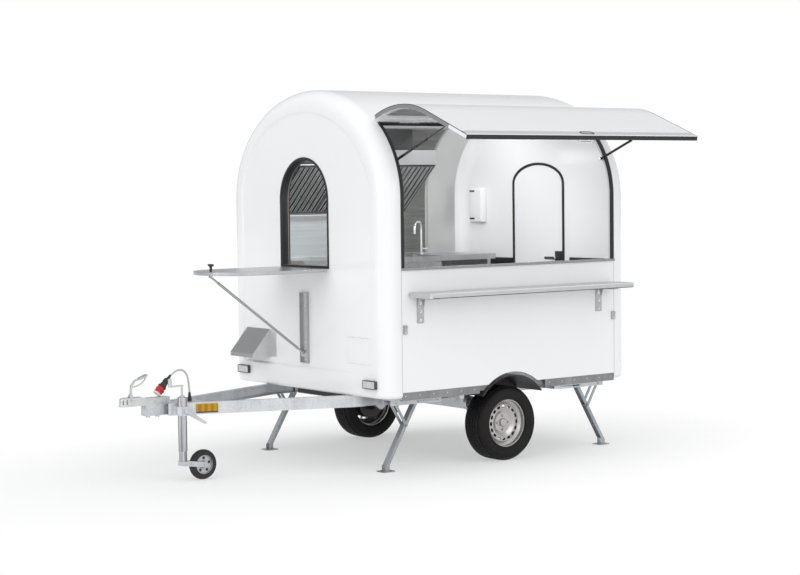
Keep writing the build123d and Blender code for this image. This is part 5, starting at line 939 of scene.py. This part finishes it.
handle = {"radius": 4.5, "sides": 12, "points": (
    (-2497, 626), (-2484, 634), (-2465, 637), (-2446, 640), (-2430, 646), (-2414, 655), (-2400, 666), (-2389, 680),
    (-2381, 694), (-2377, 704))}
loopPath = [at(x, 0, z) for x, z in handle["points"]]
loopSection = [(handle["radius"] * cos(turn), handle["radius"] * sin(turn))
               for turn in steps(0, 2 * pi * (1 - 1 / handle["sides"]), handle["sides"])]
loopOut = [run.cross(inwards) for run in headings(loopPath)]
loopMesh = sweptStrip(loopPath, loopOut, [inwards] * len(loopPath), loopSection)
addPiece("handleLoop", loopMesh, "castZinc", "handle")

# dark discs in the web of the jockey wheel, on both faces: painted shade in its pockets
pockets = {"ring": 44, "count": 5, "first": 0.3, "away": 200,
           "profile": ((0, 0.4), (8.61, 0.4), (10.5, 0), (0, -1))}
hubX, hubY, hubZ = jockeyHub
pocketMeshes = []
for (side, way), share in product(sides, range(pockets["count"])):
    turn = pockets["first"] + 2 * pi * share / pockets["count"]
    spot = at(hubX + pockets["ring"] * cos(turn), hubY + side * pockets["away"], hubZ + pockets["ring"] * sin(turn))
    pocketMeshes.append(turned(pockets["profile"], *landOn("jockey_wheel", spot, way), 20))
addPiece("hubPocketShade", joined(*pocketMeshes), "paintedShadeBlack", "jockey_wheel")

# dark strips on the cheeks of the coupling head: painted shade in its slots
slots = {"x": (-2566, -2541), "z": (526, 556), "away": 200,
         "section": ((-2.8, -1), (-2.8, 0.4), (2.8, 0.4), (2.8, -1))}
slotMeshes = []
for (side, way), x in product(sides, slots["x"]):
    path, outs = zip(*(landOn("coupling_head", at(x, side * slots["away"], z), way) for z in steps(*slots["z"], 5)))
    slotMeshes.append(sweptStrip(path, [out.cross(-upwards).normalized() for out in outs], outs, slots["section"]))
addPiece("couplingSlotShade", joined(*slotMeshes), "paintedShadeBlack")
print("small mouldings fitted")


# fasteners, each set down on the surface it holds
def seats(nodeName, x, y, z, way):
    return [landOn(nodeName, at(*spot), way) for spot in product(x, y, z)]


def fasten(name, spots, tree, radius, height, finishName="brightPlate", bodyName="trailer"):
    points, facings = zip(*(spot for spot in spots if spot))
    mesh = grown(points, tree, {"Head radius": radius / 1000, "Head height": height / 1000}, {"facing": facings})
    addPiece(name, mesh, finishName, bodyName, 35)


fasten("hingeScrews", seats("hinge_rail", steps(-940, 940, 34), [-1000], [2362], inwards), rivets, 5, 2.2)
fasten("bracketBolts", seats("counter_fittings", (-815, 815), [-1200], (1034, 1090, 1146), inwards), bolts, 6.5, 5)
fasten("clipScrews", seats("counter_fittings", (-948, 955), [-1200], [957], inwards), rivets, 5, 2.6)
fasten("railScrews", seats("flap_rail", [-1500], [0], (724, 850, 976, 1102, 1184), backwards), rivets, 5.5, 2.8)
fasten("cowlRivets", seats("vent_cowl", [-1500], (388, 738), (735, 815, 895), backwards), rivets, 4.5, 2.2)
skirtX = [sign * x for sign in (-1, 1) for x in steps(345, 940, 6)]
skirtSeats, cheekSeats, lampSeats = [], [], []
for side, way in sides:
    skirtSeats += seats("skirt_rails", skirtX, [side * 1200], [530], way)
    cheekSeats += seats("coupling_head", (-2262, -2330), [side * 200], [530], way)
    cheekSeats += seats("coupling_head", [-2505], [side * 200], [552], way)
fasten("skirtRivets", skirtSeats, rivets, 5, 2.2, "zincSteel")
fasten("couplingBolts", cheekSeats, bolts, 8, 6.5, "castZinc")
fasten("noseBolts", seats("chassis_frame", (-2372, -2300), (-16, 16), [200], upwards), bolts, 8, 9,
       "zincSteel")
fasten("flapScrews", seats("front_flap", (-1152, -1176), (-225, -155, 155, 225), [1100], upwards), rivets, 5, 2.6,
       bodyName="flap")
fasten("sillScrews", seats("sill_strip", steps(-930, 930, 13), [-932], [1500], -upwards), rivets, 4, 1.4)
for x, y, z, way, shift in ((-1300, 775, 608, backwards, 52), (1300, 700, 606, -backwards, 88)):
    lampSeats += seats("lamps", [x], [side * y + by for side in (-1, 1) for by in (-shift, shift)], [z], way)
fasten("lampScrews", lampSeats, rivets, 3.5, 1.6)
for corner, (x, (side, way)) in zip(steadies, product((-790, 890), sides)):
    knee = seats(f"steady_strut_{corner}", [x], [side * 1000], [304.3], way)
    fasten(f"kneePin_{corner}", knee, rivets, 8.5, 2.4, "steadyZincShaded", f"brace_{corner}")
print("fasteners set")


# paper floor, plain white away from the trailer
halfFloor = 60
floorMesh = bpy.data.meshes.new("studioFloor")
floorMesh.from_pydata([(x * halfFloor, y * halfFloor, 0) for x, y in ((-1, -1), (1, -1), (1, 1), (-1, 1))],
                      [], [(0, 1, 2, 3)])
floor = show("studioFloor", floorMesh)
floorFinish = bpy.data.materials.new("studioFloor")
floorFinish.use_nodes = True
floorFinish.node_tree.nodes.clear()
start = Wire(floorFinish.node_tree)
place = start.node("ShaderNodeTexCoord", out="Object")
paper = tint(grain(place, 3), (0.88, 0.88, 0.88), (0.9, 0.9, 0.9))
matte = start.node("ShaderNodeBsdfDiffuse", sockets={"Color": paper})
glow = start.node("ShaderNodeEmission", sockets={"Color": (1, 1, 1, 1), "Strength": 1})
seen, mirrored, through = (start.node("ShaderNodeLightPath", out=f"Is {ray} Ray")
                           for ray in ("Camera", "Glossy", "Transmission"))
midWhole = -midX * 1000  # middle of the whole part, lengthways
away = hypot(distance(place, "X", midWhole) / 2.7, distance(place, "Y") / 1.55)
lift = spread(away, 0.45, 1, 0.65, 1.35)
blend = start.node("ShaderNodeMixShader", sockets={0: (seen + mirrored + through) * lift, 1: matte, 2: glow})
start.node("ShaderNodeOutputMaterial", sockets={"Surface": blend})
floorMesh.materials.append(floorFinish)

# daylight, dimmer behind the trailer and at both sides, for its edges
world = bpy.data.worlds.new("studio")
world.use_nodes = True
scene.world = world
world.node_tree.nodes.clear()
start = Wire(world.node_tree)
skyWay = start.node("ShaderNodeTexCoord", out="Generated")
rise = start.node("ShaderNodeSeparateXYZ", sockets={0: skyWay}, out="Z")
sky = start.node("ShaderNodeValToRGB", {"stops": (
    (0, (0.55, 0.55, 0.56)), (0.5, (0.88, 0.89, 0.9)), (0.6, (1, 1, 1)), (0.8, (0.78, 0.79, 0.8)),
    (1, (0.68, 0.69, 0.7)))}, {0: rise * 0.5 + 0.5})
behind, aside = (start.node("ShaderNodeVectorMath", {"operation": "DOT_PRODUCT"}, {0: skyWay, 1: way}, out="Value")
                 for way in (forward, right))
flank = spread(abs(aside), 1, 0.55, 0.72, 0.94)
daylight = start.node("ShaderNodeBackground", sockets={
    "Color": sky, "Strength": spread(behind, 1.3, 0.58, -0.2, 0.9) * flank})
paperWhite = start.node("ShaderNodeBackground", sockets={"Color": (1, 1, 1, 1), "Strength": 1})
seen = start.node("ShaderNodeLightPath", out="Is Camera Ray")
start.node("ShaderNodeOutputWorld", sockets={
    "Surface": start.node("ShaderNodeMixShader", sockets={0: seen, 1: daylight, 2: paperWhite})})

softboxes = {  # spot, aim, size in metres, power
    "topBox": ((-600, -1500, 7500), (0, 0, 1000), (7, 7), 44),
    "leftBox": ((-8200, -1900, 4200), (-500, -300, 1200), (4, 5), 64),
    "rightBox": ((1800, -9300, 3800), (300, -600, 1200), (5, 4), 74),
    "stripSide": ((-3600, -8600, 2600), (-900, -900, 1500), (0.25, 4.5), 9),
    "stripFront": ((-9500, 700, 2600), (-1100, 0, 1500), (0.25, 4.5), 26),
    "cabinBox": ((-220, -250, 2250), (200, 300, 1200), (1.4, 0.5), 17),
    "cornerBox": ((520, 240, 2380), (1080, 760, 1500), (0.5, 0.4), 2.2),
}
for name, (spot, aim, size, power) in softboxes.items():
    lampData = bpy.data.lights.new(name, "AREA")
    lampData.shape = "RECTANGLE"
    lampData.size, lampData.size_y = size
    lampData.energy = power
    lamp = show(name, lampData)
    lamp.location = at(*spot)
    lamp.rotation_euler = (at(*aim) - at(*spot)).to_track_quat("-Z", "Y").to_euler()
    lamp.visible_camera = False
print("studio lit")
